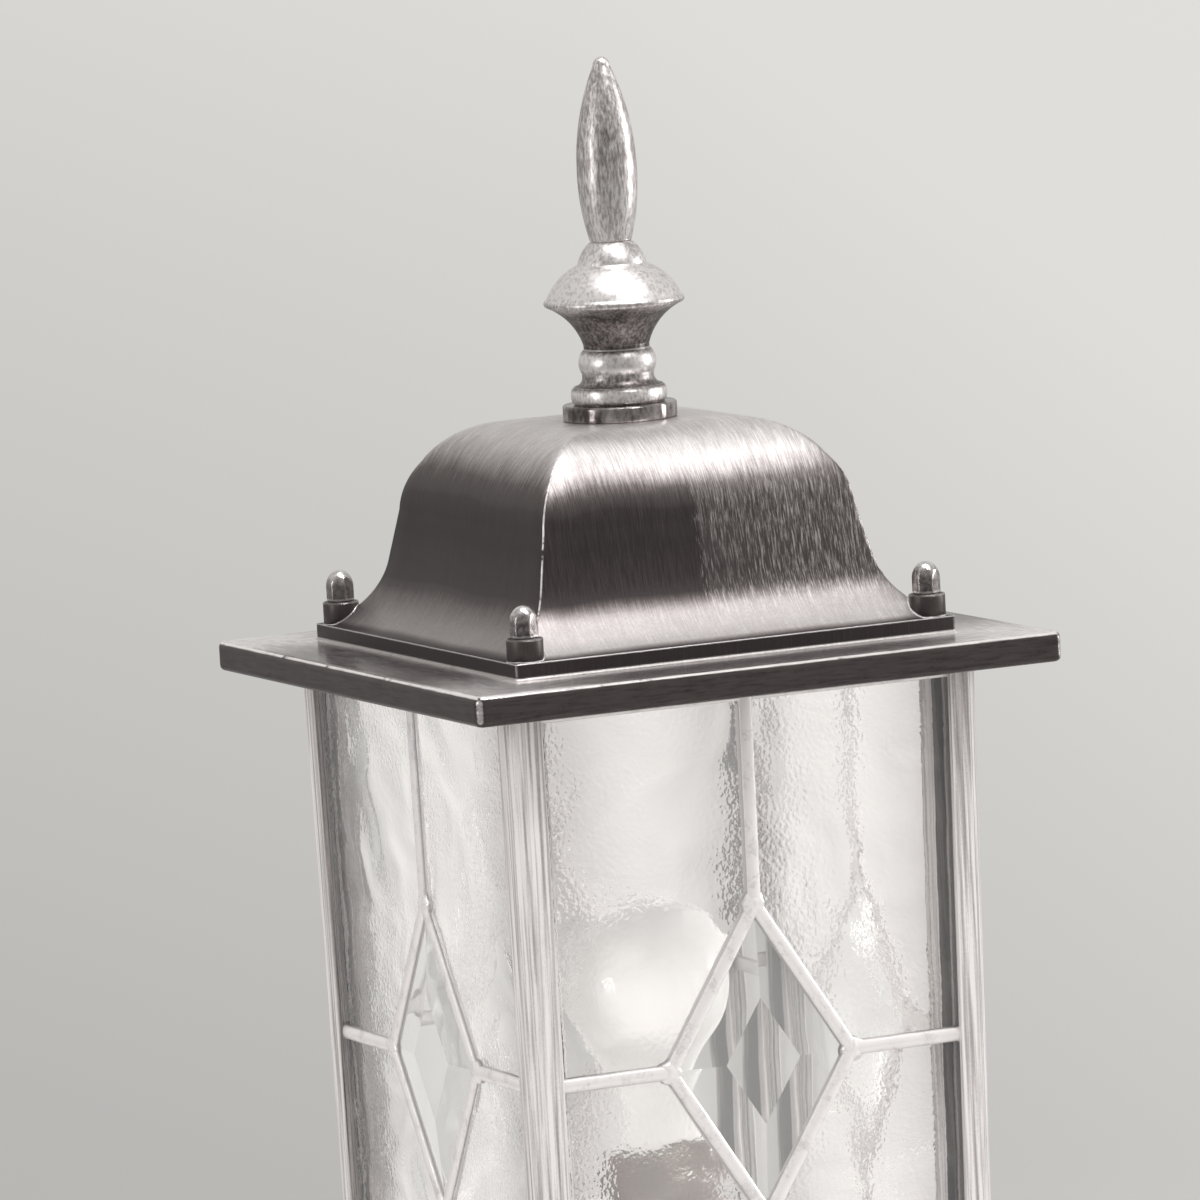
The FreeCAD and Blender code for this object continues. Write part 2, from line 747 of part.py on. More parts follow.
def roof_dome():
    outside = square_bell(*roof_outline(EAVES_TOP))
    inside = square_bell(*roof_outline(EAVES_TOP - ROOF_WALL), ROOF_WALL)
    dome = outside.cut(inside)
    boss_top = EAVES_TOP + ROOF_BOSS_HEIGHT
    for corner in CORNERS.values():
        boss = cylinder(ROOF_BOSS_R, EAVES_TOP, boss_top, *stud_place(corner))
        top_edge = [edge for edge in boss.Edges if edge.BoundBox.ZMin > boss_top - ROOF_BOSS_EDGE]
        dome = dome.fuse(boss.makeFillet(ROOF_BOSS_EDGE, top_edge))
    for corner in CORNERS.values():
        dome = dome.cut(hole(STUD_R + MOVING_GAP, EAVES_TOP, nut_top(), *stud_place(corner)))
    return dome.cut(hole(FINIAL_STUD_R + HOLE_GAP, CROWN - ROOF_WALL, CROWN))


def cap_nut(corner):
    """Acorn nut: chamfered hexagon under a closed dome, threaded from below."""
    x, y = stud_place(corner)
    seat = EAVES_TOP + ROOF_BOSS_HEIGHT
    corner_r = NUT_FLATS / math.sqrt(3)
    shaper = turned(
        (0, seat),
        [
            (corner_r - NUT_CHAMFER, seat),
            (corner_r, seat + NUT_CHAMFER),
            (corner_r, seat + NUT_HEX - NUT_CHAMFER),
            (NUT_DOME_R, seat + NUT_HEX),
            (NUT_DOME_R, nut_top() - NUT_DOME_R),
            (0, nut_top(), NUT_DOME_R * QUARTER),
        ],
    )
    shaper.translate(Vector(x, y, 0))
    nut = hexagon(NUT_FLATS, seat, nut_top(), x, y).common(shaper)
    return nut.cut(cylinder(STUD_R + NUT_THREAD_GAP, seat - CUT_PAST, nut_top() - NUT_SKIN, x, y))


# Finial

def finial_base_ring():
    ring = tube(RING_R, FINIAL_STUD_R + THREAD_GAP, CROWN, URN_FOOT)
    return ring.makeFillet(RING_EDGE, rims(ring, RING_R - RING_EDGE))


def finial_urn():
    steps = [
        (URN_FOOT_R - URN_FOOT_EDGE, 0),
        (URN_FOOT_R, URN_FOOT_EDGE),
        (URN_FOOT_R, URN_FOOT_HEIGHT, URN_FOOT_BOW),
        (URN_FOOT_R - URN_FOOT_EDGE, URN_FOOT_HEIGHT + URN_FOOT_EDGE),
        (URN_WAIST_R, URN_WAIST_HEIGHT, URN_WAIST_BOW),
        (URN_WAIST_R, URN_BEAD_FOOT),
        (URN_NECK_R + URN_BEAD_STEP, URN_BEAD_TOP, URN_BEAD_BOW),
        (URN_NECK_R, URN_BEAD_TOP + URN_BEAD_STEP),
        (URN_NECK_R, URN_NECK_HEIGHT),
        (URN_BRIM_R, URN_BRIM_FOOT, URN_FLARE_BOW),
        (URN_BRIM_R, URN_BRIM_TOP, URN_BRIM_BOW),
        (URN_COLLAR_R, URN_COLLAR_HEIGHT, URN_CUP_BOW),
        (SPEAR_FOOT_R, URN_HEIGHT, URN_COLLAR_BOW),
        (0, URN_HEIGHT),
    ]
    urn = turned((0, 0), steps)
    urn.translate(UP * URN_FOOT)
    return urn.cut(hole(FINIAL_STUD_R + THREAD_GAP, URN_FOOT, SPEAR_FOOT))


def finial_spear():
    steps = [
        (SPEAR_FOOT_R - SPEAR_FOOT_EDGE, 0),
        (SPEAR_FOOT_R, SPEAR_FOOT_EDGE),
        (SPEAR_R, SPEAR_WIDEST, SPEAR_LOWER_BOW),
        (SPEAR_TIP_R, SPEAR_HEIGHT - SPEAR_TIP_R, SPEAR_UPPER_BOW),
        (0, SPEAR_HEIGHT, SPEAR_TIP_R * QUARTER),
    ]
    spear = turned((0, 0), steps)
    spear.translate(UP * SPEAR_FOOT)
    bore_top = SPEAR_FOOT + FINIAL_STUD_REACH + HOLE_GAP
    return spear.cut(cylinder(FINIAL_STUD_R + THREAD_GAP, SPEAR_FOOT - CUT_PAST, bore_top))


def finial_washer_levels():
    high = CROWN - ROOF_WALL
    return high - FINIAL_WASHER_THICK, high


def finial_stud():
    low = finial_washer_levels()[0] - FINIAL_NUT_HEIGHT - FINIAL_STUD_TAIL
    return cylinder(FINIAL_STUD_R, low, SPEAR_FOOT + FINIAL_STUD_REACH)


def finial_washer():
    return tube(FINIAL_WASHER_R, FINIAL_STUD_R + HOLE_GAP, *finial_washer_levels())


def finial_nut():
    high = finial_washer_levels()[0]
    low = high - FINIAL_NUT_HEIGHT
    return hexagon(FINIAL_NUT_FLATS, low, high).cut(hole(FINIAL_STUD_R + THREAD_GAP, low, high))


# Lamp

def lamp_bulb(shrink):
    """Pear-shaped bulb, drawn in by shrink."""
    centre = LAMP_FOOT + LAMP_HEIGHT - LAMP_R
    ball = LAMP_R - shrink
    neck = LAMP_NECK_R - shrink
    join = math.radians(LAMP_JOIN_ANGLE)
    above_join = math.radians(90) - join
    steps = [
        (neck, LAMP_FOOT + shrink),
        (neck + LAMP_NECK_FLARE, LAMP_FOOT + LAMP_NECK_HEIGHT),
        (ball * math.cos(join), centre + ball * math.sin(join), LAMP_SHOULDER_BOW),
        (0, centre + ball, ball * (1 - math.cos(above_join / 2))),
    ]
    return turned((0, LAMP_FOOT + shrink), steps)


def lamp_glass():
    return lamp_bulb(0).cut(lamp_bulb(LAMP_WALL))


def lamp_cap():
    """Threaded cap: a rolled thread of rounded crests."""
    low = LAMP_FOOT - CAP_LENGTH
    root = CAP_R - THREAD_DEPTH
    steps = [(root - CAP_BEVEL, low), (root, low + CAP_BEVEL)]
    for crest in range(int((CAP_LENGTH - CAP_COLLAR) / THREAD_PITCH)):
        steps.append((root, low + CAP_BEVEL + (crest + 1) * THREAD_PITCH, THREAD_DEPTH))
    steps += [(root, LAMP_FOOT), (0, LAMP_FOOT)]
    return turned((0, low), steps)


def lamp_contact():
    """Insulator and tip under the cap."""
    high = LAMP_FOOT - CAP_LENGTH
    low = high - CAP_TIP
    return turned(
        (0, low),
        [
            (CAP_TIP_R, low),
            (CAP_TIP_R, (low + high) / 2),
            (CAP_R - THREAD_DEPTH - CAP_BEVEL, high),
            (0, high),
        ],
    )


def lamp_stem():
    """Glass mount that carries the filament, standing on the bulb's foot."""
    low = LAMP_FOOT + LAMP_WALL
    return turned(
        (0, low),
        [
            (STEM_FOOT_R, low),
            (STEM_TOP_R, low + STEM_FLARE, STEM_BOW),
            (STEM_TOP_R, low + STEM_HEIGHT),
            (0, low + STEM_HEIGHT),
        ],
    )


def lamp_filament():
    """Two lead wires that stand on the stem, and an arched filament between them."""
    low = LAMP_FOOT + LAMP_WALL + STEM_HEIGHT + LEAD_R
    high = LAMP_FOOT + LAMP_HEIGHT - LAMP_R
    pieces = []
    for side in (-1, 1):
        start = Vector(side * (STEM_TOP_R - 2 * LEAD_R), 0, low)
        run = Vector(side * FILAMENT_HALF, 0, high) - start
        pieces.append(Part.makeCylinder(LEAD_R, run.Length, start, run))
    arch_foot = high + LEAD_R
    left = Vector(-FILAMENT_HALF, 0, arch_foot)
    top = Vector(0, 0, arch_foot + FILAMENT_RISE)
    right = Vector(FILAMENT_HALF, 0, arch_foot)
    arch = Part.Arc(left, top, right).toShape()
    section = Part.Wire(Part.makeCircle(LEAD_R, left, arch.tangentAt(arch.FirstParameter)))
    pieces.append(Part.Wire(arch).makePipeShell([section], True, False))
    return Part.makeCompound(pieces)


# Lampholder

def sleeve_outer_r():
    return CAP_R + SLEEVE_GAP + SLEEVE_THICK


def lampholder_shell():
    low = HOLDER_FOOT + HOLDER_SPLIT
    shell = turned(
        (0, low),
        [
            (HOLDER_R, low),
            (HOLDER_R, HOLDER_TOP - HOLDER_RIM_R),
            (HOLDER_R - HOLDER_RIM_R, HOLDER_TOP, HOLDER_RIM_R * QUARTER),
            (0, HOLDER_TOP),
        ],
    )
    shell = shell.cut(cylinder(sleeve_outer_r() + THREAD_GAP, CORE_TOP, HOLDER_TOP + CUT_PAST))
    return shell.cut(cylinder(HOLDER_R - HOLDER_WALL, low - CUT_PAST, CORE_TOP))


def lampholder_base():
    low, high = HOLDER_FOOT, HOLDER_FOOT + HOLDER_SPLIT
    bell = low + HOLDER_BELL_HEIGHT
    outside = turned(
        (0, low),
        [
            (HOLDER_FOOT_R, low),
            (HOLDER_FOOT_R, low + HOLDER_FOOT_HEIGHT),
            (HOLDER_R, bell, HOLDER_BELL_BOW),
            (HOLDER_R, high),
            (0, high),
        ],
    )
    inside = cylinder(HOLDER_R - HOLDER_WALL, bell, high + CUT_PAST)
    inside = inside.fuse(cylinder(HOLDER_FOOT_R - HOLDER_WALL, low + HOLDER_SOCKET, bell))
    return outside.cut(inside).cut(hole(PILLAR_R + THREAD_GAP, low, low + HOLDER_SOCKET))


def lampholder_core():
    """Ceramic disc between shell and base that carries the contacts."""
    low = CORE_TOP - CORE_THICK
    core = cylinder(HOLDER_R - HOLDER_WALL - THREAD_GAP, low, CORE_TOP)
    for side in (-1, 1):
        core = core.cut(hole(CORE_HOLE_R, low, CORE_TOP, side * CORE_HOLE_PLACE))
    return core


def lampholder_sleeve():
    return tube(sleeve_outer_r(), CAP_R + SLEEVE_GAP, CORE_TOP, HOLDER_TOP - SLEEVE_DROP)


def lampholder_contact():
    """Springy tongue that the lamp's tip presses on."""
    low, high = CORE_TOP, CORE_TOP + TONGUE_RISE
    half = TONGUE_HALF_LENGTH
    foot = block(half, TONGUE_HALF_WIDTH, low, low + TONGUE_THICK, -half)
    riser = block(TONGUE_THICK / 2, TONGUE_HALF_WIDTH, low, high, TONGUE_THICK / 2 - half)
    tongue = block(half, TONGUE_HALF_WIDTH, high - TONGUE_THICK, high)
    return foot.fuse([riser, tongue]).removeSplitter()


def lamp_pillar():
    return tube(PILLAR_R, PILLAR_BORE_R, CASTING_TOP - PILLAR_TAIL, HOLDER_FOOT + HOLDER_SOCKET)


def pillar_nuts():
    nuts = []
    for low in (CASTING_TOP - PILLAR_NUT_HEIGHT, BODY_FOOT):
        high = low + PILLAR_NUT_HEIGHT
        nuts.append(hexagon(PILLAR_NUT_FLATS, low, high).cut(hole(PILLAR_R + THREAD_GAP, low, high)))
    return Part.makeCompound(nuts)


# Electrical fittings in the base casting

def terminal_places():
    middle = (TERMINAL_WAYS - 1) / 2
    return [(TERMINAL_PLACE, (way - middle) * TERMINAL_PITCH) for way in range(TERMINAL_WAYS)]


def terminal_block():
    high = FLOOR_TOP + TERMINAL_HEIGHT
    half_length = TERMINAL_WAYS * TERMINAL_PITCH / 2
    body = block(TERMINAL_WIDTH / 2, half_length, FLOOR_TOP, high, TERMINAL_PLACE)
    screw_foot = high - TERMINAL_SCREW_SUNK - TERMINAL_SCREW_LENGTH
    for x, y in terminal_places():
        body = body.cut(cylinder(SCREW_R + THREAD_GAP, screw_foot, high + CUT_PAST, x, y))
        start = Vector(x - TERMINAL_WIDTH, y, FLOOR_TOP + TERMINAL_WAY_HEIGHT)
        body = body.cut(Part.makeCylinder(TERMINAL_WAY_R, 2 * TERMINAL_WIDTH, start, Vector(1, 0, 0)))
    return body


def terminal_screws():
    top = FLOOR_TOP + TERMINAL_HEIGHT - TERMINAL_SCREW_SUNK
    screws = []
    for x, y in terminal_places():
        shank = cylinder(SCREW_R, top - TERMINAL_SCREW_LENGTH, top, x, y)
        screws.append(shank.cut(block(SCREW_R, SCREW_SLOT_HALF, top - SCREW_SLOT_DEPTH, top, x, y)))
    return Part.makeCompound(screws)


def earth_screw():
    """Screw in the casting's floor, with its washer fixed under the head."""
    washer_top = FLOOR_TOP + EARTH_WASHER_THICK
    top = washer_top + EARTH_HEAD
    shank = cylinder(SCREW_R, WEB_TOP + HOLE_GAP, top, -EARTH_PLACE)
    head = cylinder(SCREW_HEAD_R, washer_top, top, -EARTH_PLACE)
    washer = cylinder(EARTH_WASHER_R, FLOOR_TOP, washer_top, -EARTH_PLACE)
    slot = block(SCREW_HEAD_R, SCREW_SLOT_HALF, top - SCREW_SLOT_DEPTH, top, -EARTH_PLACE)
    return shank.fuse([head, washer]).cut(slot)


def cable_grommet():
    """Rubber grommet that lines the cable hole, with its lower lip sunk flush in the fitter's web."""
    low, high = FITTER_DEPTH, FLOOR_TOP + GROMMET_LIP_THICK
    lip = CABLE_HOLE_R + GROMMET_LIP
    body = cylinder(CABLE_HOLE_R - THREAD_GAP, low, high)
    body = body.fuse([cylinder(lip, FLOOR_TOP, high), cylinder(lip, low, low + GROMMET_LIP_THICK)])
    return body.cut(hole(CABLE_HOLE_R - GROMMET_WALL, low, high)).removeSplitter()


def lamp_wires():
    """Two wires from the terminal block, up through the pillar, to the lampholder's core."""
    level = FLOOR_TOP + TERMINAL_WAY_HEIGHT
    block_face = TERMINAL_PLACE - TERMINAL_WIDTH / 2
    wires = []
    for side in (-1, 1):
        y_far = side * TERMINAL_PITCH * (TERMINAL_WAYS - 1) / 2
        y_near = side * WIRE_SPREAD
        start = Vector(block_face + WIRE_LEAD_IN, y_far, level)
        out = Vector(block_face - WIRE_LEAD_OUT, y_far, level)
        under = Vector(0, y_near, level)
        top = Vector(0, y_near, CORE_TOP - CORE_THICK)
        path = rounded_path([start, out, under, top], WIRE_BEND_R)
        section = Part.Wire(Part.makeCircle(WIRE_R, start, Vector(-1, 0, 0)))
        wires.append(path.makePipeShell([section], True, False))
    return Part.makeCompound(wires)


def main():
    os.makedirs("parts", exist_ok=True)

    save("finial_spear", finial_spear())
    save("finial_urn", finial_urn())
    save("finial_base_ring", finial_base_ring())
    save("finial_stud", finial_stud())
    save("finial_washer", finial_washer())
    save("finial_nut", finial_nut())
    save("roof_dome", roof_dome())
    save("eaves_plate", eaves_plate())
    save("roof_studs", Part.makeCompound([roof_stud(corner) for corner in CORNERS.values()]))
    for name, corner in CORNERS.items():
        save("cap_nut_" + name, cap_nut(corner))
        save("corner_post_" + name, corner_post(corner))

    for name, side in SIDES.items():
        save("leading_" + name, leading(side))
        save("textured_glass_" + name, textured_glass(side))
        save("bevelled_glass_" + name, bevelled_glass(side))
    save("panel_seals", Part.makeCompound([panel_seal(side) for side in SIDES.values()]))

    save("lamp_glass", lamp_glass())
    save("lamp_cap", lamp_cap())
    save("lamp_contact", lamp_contact())
    save("lamp_stem", lamp_stem())
    save("lamp_filament", lamp_filament())

    save("lampholder_shell", lampholder_shell())
    save("lampholder_base", lampholder_base())
    save("lampholder_core", lampholder_core())
    save("lampholder_sleeve", lampholder_sleeve())
    save("lampholder_contact", lampholder_contact())
    save("lamp_pillar", lamp_pillar())
    save("pillar_nuts", pillar_nuts())

    save("base_plate", base_plate())
    short_screws = [screw(x, y, BODY_FOOT) for x, y in casting_screw_places()]
    save("base_plate_screws", Part.makeCompound(short_screws))
    places = [post_screw_place(corner) for corner in CORNERS.values()]
    long_screws = [screw(x, y, CASTING_TOP, POST_SCREW_LENGTH, 1) for x, y in places]
    save("post_screws", Part.makeCompound(long_screws))
    save("base_casting", base_casting())
    save("post_fitter", post_fitter())
    web_screws = [screw(x, y, FITTER_DEPTH, FITTER_SCREW_LENGTH, 1) for x, y in fitter_screw_places()]
    save("fitter_screws", Part.makeCompound(web_screws))
    for number, angle in enumerate(set_screw_angles(), start=1):
        save("set_screw_%d" % number, set_screw(angle))

    save("terminal_block", terminal_block())
    save("terminal_screws", terminal_screws())
    save("earth_screw", earth_screw())
    save("cable_grommet", cable_grommet())
    save("lamp_wires", lamp_wires())


main()
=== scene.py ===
"""Post top lantern: meshes, finishes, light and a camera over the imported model.

The file is laid out as an add-on with one operator for each group of pieces.
Run as a script, it calls them in order.
"""

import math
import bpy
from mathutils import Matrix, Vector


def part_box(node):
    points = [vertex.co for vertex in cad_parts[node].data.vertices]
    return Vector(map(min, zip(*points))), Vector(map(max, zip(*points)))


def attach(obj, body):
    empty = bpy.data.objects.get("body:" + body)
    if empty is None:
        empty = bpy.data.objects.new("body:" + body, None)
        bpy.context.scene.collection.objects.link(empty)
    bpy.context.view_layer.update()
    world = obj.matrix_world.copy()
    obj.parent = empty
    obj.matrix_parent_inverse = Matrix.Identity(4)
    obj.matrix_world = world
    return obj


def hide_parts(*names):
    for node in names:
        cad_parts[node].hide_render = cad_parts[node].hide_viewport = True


bl_info = {
    "name": "Post top lantern",
    "version": (1, 0, 0),
    "blender": (4, 5, 0),
    "location": "3D View > Sidebar > Lantern",
    "description": "Dresses the packed post top lantern with meshes, finishes, light and a camera",
    "category": "Object",
}

import bmesh
import bpy
from mathutils import Matrix, Vector, noise

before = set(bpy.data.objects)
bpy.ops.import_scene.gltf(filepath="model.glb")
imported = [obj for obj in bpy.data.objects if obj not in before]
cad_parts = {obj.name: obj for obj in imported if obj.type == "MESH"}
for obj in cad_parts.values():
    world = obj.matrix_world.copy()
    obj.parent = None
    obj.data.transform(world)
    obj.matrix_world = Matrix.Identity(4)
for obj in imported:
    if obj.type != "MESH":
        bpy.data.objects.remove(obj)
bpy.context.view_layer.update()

MM = 0.001
SIDES = {"front": (0, -1), "right": (1, 0), "back": (0, 1), "left": (-1, 0)}
CORNERS = ("front_left", "front_right", "back_left", "back_right")

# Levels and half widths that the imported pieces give
EAVES_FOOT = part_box("eaves_plate")[0].z
EAVES_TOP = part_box("eaves_plate")[1].z
EAVES_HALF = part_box("eaves_plate")[1].x
ROOF_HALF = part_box("roof_dome")[1].x
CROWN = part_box("roof_dome")[1].z
BODY_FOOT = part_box("base_plate")[1].z
BODY_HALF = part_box("corner_post_front_right")[1].x
URN_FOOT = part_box("finial_urn")[0].z
URN_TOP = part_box("finial_urn")[1].z
SPEAR_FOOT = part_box("finial_spear")[0].z
SPEAR_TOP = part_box("finial_spear")[1].z
PANEL_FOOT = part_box("leading_front")[0].z
PANEL_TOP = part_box("leading_front")[1].z
PANEL_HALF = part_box("leading_front")[1].x

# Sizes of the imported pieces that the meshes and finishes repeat
STUD_RADIUS = 2.5 * MM
STUD_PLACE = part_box("roof_studs")[1].x - STUD_RADIUS
ROOF_STUD_HOLE = 2.85 * MM
FINIAL_STUD_HOLE = 3.3 * MM
NUT_BORE = 2.62 * MM
PLATE_CORNER = 3.0 * MM

# The leaded panels lean outwards with the posts' faces
BODY_HALF_FOOT = 81.3 * MM
POST_LEAN = (BODY_HALF - BODY_HALF_FOOT) / (EAVES_FOOT - BODY_FOOT)
GLASS_DEPTH = 3.0 * MM
GLASS_THICK = 3.0 * MM
DIAMOND = (33.0 * MM, 51.4 * MM)
PANEL_MIDDLE = (BODY_FOOT + EAVES_FOOT) / 2


def body_half(level):
    """Half width over the posts' faces at a level."""
    return BODY_HALF_FOOT + POST_LEAN * (level - BODY_FOOT)


# Sizes and colours that a user would change

def length(name, description, default):
    """A length in metres."""
    return bpy.props.FloatProperty(
        name=name, description=description, default=default, min=0.0, precision=5,
        subtype="DISTANCE", unit="LENGTH",
    )


def colour(name, description, default):
    """A linear colour."""
    return bpy.props.FloatVectorProperty(
        name=name, description=description, default=default, size=3, min=0.0, max=1.0,
        subtype="COLOR",
    )


class LanternSizes(bpy.types.PropertyGroup):
    """Sizes of the detail that the meshes and finishes add."""

    hip_radius: length("Hip radius", "Rounding of the roof's four hips", 1.5 * MM)
    roof_wall: length("Roof wall", "Thickness of the roof's casting", 3.0 * MM)
    boss_radius: length("Boss radius", "Radius of the roof's corner bosses", 6.0 * MM)
    boss_height: length("Boss height", "Height of the bosses over the eaves plate", 12.9 * MM)
    nut_flats: length("Cap nut width", "Width of a cap nut across its flats", 8.0 * MM)
    came_width: length("Came width", "Width of the lead over the glass", 4.8 * MM)
    came_rise: length("Came rise", "Height of the rounded lead over the glass", 1.5 * MM)
    solder_radius: length("Solder radius", "Radius of the solder at each joint of the lead", 4.2 * MM)
    ripple: length("Glass ripple", "Height of the long ripples in the textured glass", 3.6 * MM)
    hammer: length("Glass grain", "Height of the fine grain in the textured glass", 0.13 * MM)
    wear_radius: length("Edge wear", "How far worn silver reaches in from an edge", 0.8 * MM)


class LanternColours(bpy.types.PropertyGroup):
    """Colours of the lantern's finishes and of the studio."""

    dark_metal: colour("Dark metal", "Black under the brushed silver", (0.014, 0.010, 0.0095))
    tarnish: colour("Tarnish", "Silver where it is brushed on thinly", (0.66, 0.575, 0.565))
    silver: colour("Silver", "Brushed silver on the castings", (0.86, 0.83, 0.82))
    came_metal: colour("Came metal", "Lead and solder", (0.92, 0.885, 0.88))
    textured_glass: colour("Textured glass", "Rolled glass of the panes", (0.98, 0.965, 0.96))
    bevelled_glass: colour("Bevelled glass", "Clear glass of the diamonds", (0.93, 0.93, 0.92))
    # Also the colour of the painted glow on the textured panes and the bevelled diamonds
    lamp_light: colour("Lamp light", "Glow of the lamp's pearl glass", (1.0, 0.985, 0.96))
    bakelite: colour("Bakelite", "Brown moulding of the lampholder", (0.060, 0.030, 0.018))
    ceramic: colour("Ceramic", "Terminal block and lampholder core", (0.72, 0.70, 0.65))
    plated_steel: colour("Plated steel", "Zinc on the screws and studs", (0.56, 0.56, 0.54))
    brass: colour("Brass", "Contacts, pillar and terminal screws", (0.72, 0.50, 0.22))
    nickel: colour("Nickel", "Plating of the lamp's cap", (0.70, 0.68, 0.64))
    tungsten: colour("Tungsten", "Wire of the lamp's filament", (0.35, 0.33, 0.32))
    rubber: colour("Rubber", "Seals and grommet", (0.022, 0.022, 0.023))
    sheath: colour("Sheath", "Covering of the inner wires", (0.36, 0.35, 0.33))
    floor: colour("Floor", "Pale studio floor", (0.50, 0.49, 0.475))


# Shader maths as Python expressions

class Signal:
    """One output of a shader node, with arithmetic that adds Math nodes."""

    def __init__(self, finish, socket):
        self.finish = finish
        self.socket = socket

    def maths(self, operation, *values):
        """Add a Math node."""
        return self.finish.node("ShaderNodeMath", {"operation": operation}, values)

    def __add__(self, other):
        return self.maths("ADD", self, other)

    __radd__ = __add__

    def __mul__(self, other):
        return self.maths("MULTIPLY", self, other)

    __rmul__ = __mul__

    def __sub__(self, other):
        return self.maths("SUBTRACT", self, other)

    def __rsub__(self, other):
        return self.maths("SUBTRACT", other, self)

    def __truediv__(self, other):
        return self.maths("DIVIDE", self, other)

    def __pow__(self, other):
        return self.maths("POWER", self, other)

    def __abs__(self):
        return self.maths("ABSOLUTE", self)

    def larger(self, other):
        return self.maths("MAXIMUM", self, other)

    def smaller(self, other):
        return self.maths("MINIMUM", self, other)

    def clamped(self):
        return self.finish.node("ShaderNodeClamp", values={"Value": self})

    def rise(self, start, end):
        """0 before start, 1 after end, with a smooth step between them."""
        values = {"Value": self, "From Min": start, "From Max": end}
        return self.finish.node("ShaderNodeMapRange", {"interpolation_type": "SMOOTHSTEP"}, values)


class Finish:
    """One material, or the world, built up node by node."""

    def __init__(self, name, owner=None):
        self.owner = owner or bpy.data.materials.new(name)
        self.owner.use_nodes = True
        self.tree = self.owner.node_tree
        self.tree.nodes.clear()
        self.place = self.node("ShaderNodeTexCoord", output="Object")

    def node(self, kind, settings=None, values=(), output=0):
        """Add a node: its settings come first, then the value or the link of each socket."""
        node = self.tree.nodes.new(kind)
        for name, setting in (settings or {}).items():
            if name == "stops":
                for stop, (position, value) in zip(self.stops(node, len(setting)), setting):
                    stop.position = position
                    stop.color = (value, value, value, 1)
            else:
                setattr(node, name, setting)
        pairs = values.items() if isinstance(values, dict) else enumerate(values)
        for name, value in pairs:
            socket = node.inputs[name]
            if isinstance(value, Signal):
                self.tree.links.new(value.socket, socket)
            elif socket.type == "RGBA":
                socket.default_value = (*value[:3], 1)
            else:
                socket.default_value = value
        return Signal(self, node.outputs[output]) if node.outputs else node

    @staticmethod
    def stops(node, count):
        """The ramp's stops, with as many as are asked for."""
        elements = node.color_ramp.elements
        while len(elements) < count:
            elements.new(0.5)
        return elements

    def vector(self, operation, *values, output=0):
        """Add a Vector Math node; its output 1 is a number."""
        return self.node("ShaderNodeVectorMath", {"operation": operation}, values, output)

    def mix(self, first, second, factor):
        """A colour between two others."""
        return self.node("ShaderNodeMix", {"data_type": "RGBA"}, {0: factor, 6: first, 7: second}, 2)

    def blend(self, first, second, factor):
        """A shader between two others."""
        return self.node("ShaderNodeMixShader", values=(factor, first, second))

    def noise(self, scale, detail=2.0, roughness=0.5, distortion=0.0, place=None):
        """Noise whose scale, per metre, may differ along X, Y and Z."""
        scales = scale if isinstance(scale, tuple) else (scale,) * 3
        return self.node("ShaderNodeTexNoise", values={
            "Vector": self.vector("MULTIPLY", place or self.place, scales), "Scale": 1.0,
            "Detail": detail, "Roughness": roughness, "Distortion": distortion,
        })

    def axes(self, source=None):
        """The three numbers of a vector."""
        split = self.node("ShaderNodeSeparateXYZ", values=(source or self.place,))
        return [Signal(self, output) for output in split.socket.node.outputs]

    def height(self, low, high):
        """How far up between two levels: 0 at the lower one and 1 at the upper one."""
        return (self.axes()[2] - low) / (high - low)

    def on_faces(self):
        """The place on a square piece's faces: across the face, in towards the middle, and up."""
        x, y, z = self.axes()
        facing_y = self.node("ShaderNodeMath", {"operation": "GREATER_THAN"}, (abs(y), abs(x)))
        across = x * facing_y + y * (1 - facing_y)
        inwards = y * facing_y + x * (1 - facing_y)
        return self.node("ShaderNodeCombineXYZ", values=(across, inwards, z))

    def outside(self, middle):
        """1 on faces turned away from a middle point and 0 on those turned to it."""
        normal = self.node("ShaderNodeNewGeometry", output="Normal")
        away = self.vector("SUBTRACT", self.place, middle)
        return self.vector("DOT_PRODUCT", normal, away, output=1).rise(-MM, MM)

    def ramp(self, factor, stops):
        """A value read off a row of (position, value) stops."""
        return self.node("ShaderNodeValToRGB", {"stops": stops}, (factor,))

    def bump(self, height, distance, strength=1.0, normal=None):
        """A normal tilted by a height map."""
        values = {"Strength": strength, "Distance": distance, "Height": height}
        if normal:
            values["Normal"] = normal
        return self.node("ShaderNodeBump", values=values)

    def soft_edges(self, radius):
        """The normal with its edges rounded off, and how worn each edge is, from 0 to 1."""
        rounded = self.node("ShaderNodeBevel", values={"Radius": radius})
        flat = self.node("ShaderNodeNewGeometry", output="Normal")
        level = self.vector("DOT_PRODUCT", rounded, flat, output=1)
        return rounded, (1 - level).rise(0.004, 0.07)

    def principled(self, **values):
        """The main shader; its sockets' names have underscores in place of spaces."""
        named = {name.replace("_", " "): value for name, value in values.items()}
        return self.node("ShaderNodeBsdfPrincipled", values=named)

    def surface(self, shader):
        """Link the shader to the output, and hand back the material or the world."""
        kind = "World" if isinstance(self.owner, bpy.types.World) else "Material"
        self.node("ShaderNodeOutput" + kind, values={"Surface": shader})
        return self.owner


def sizes():
    """The sizes that the panel shows."""
    return bpy.context.scene.lantern_sizes


def colours():
    """The colours that the panel shows."""
    return bpy.context.scene.lantern_colours


def shaded(tint, share):
    """A colour made darker."""
    return tuple(value * share for value in tint)


# Finishes

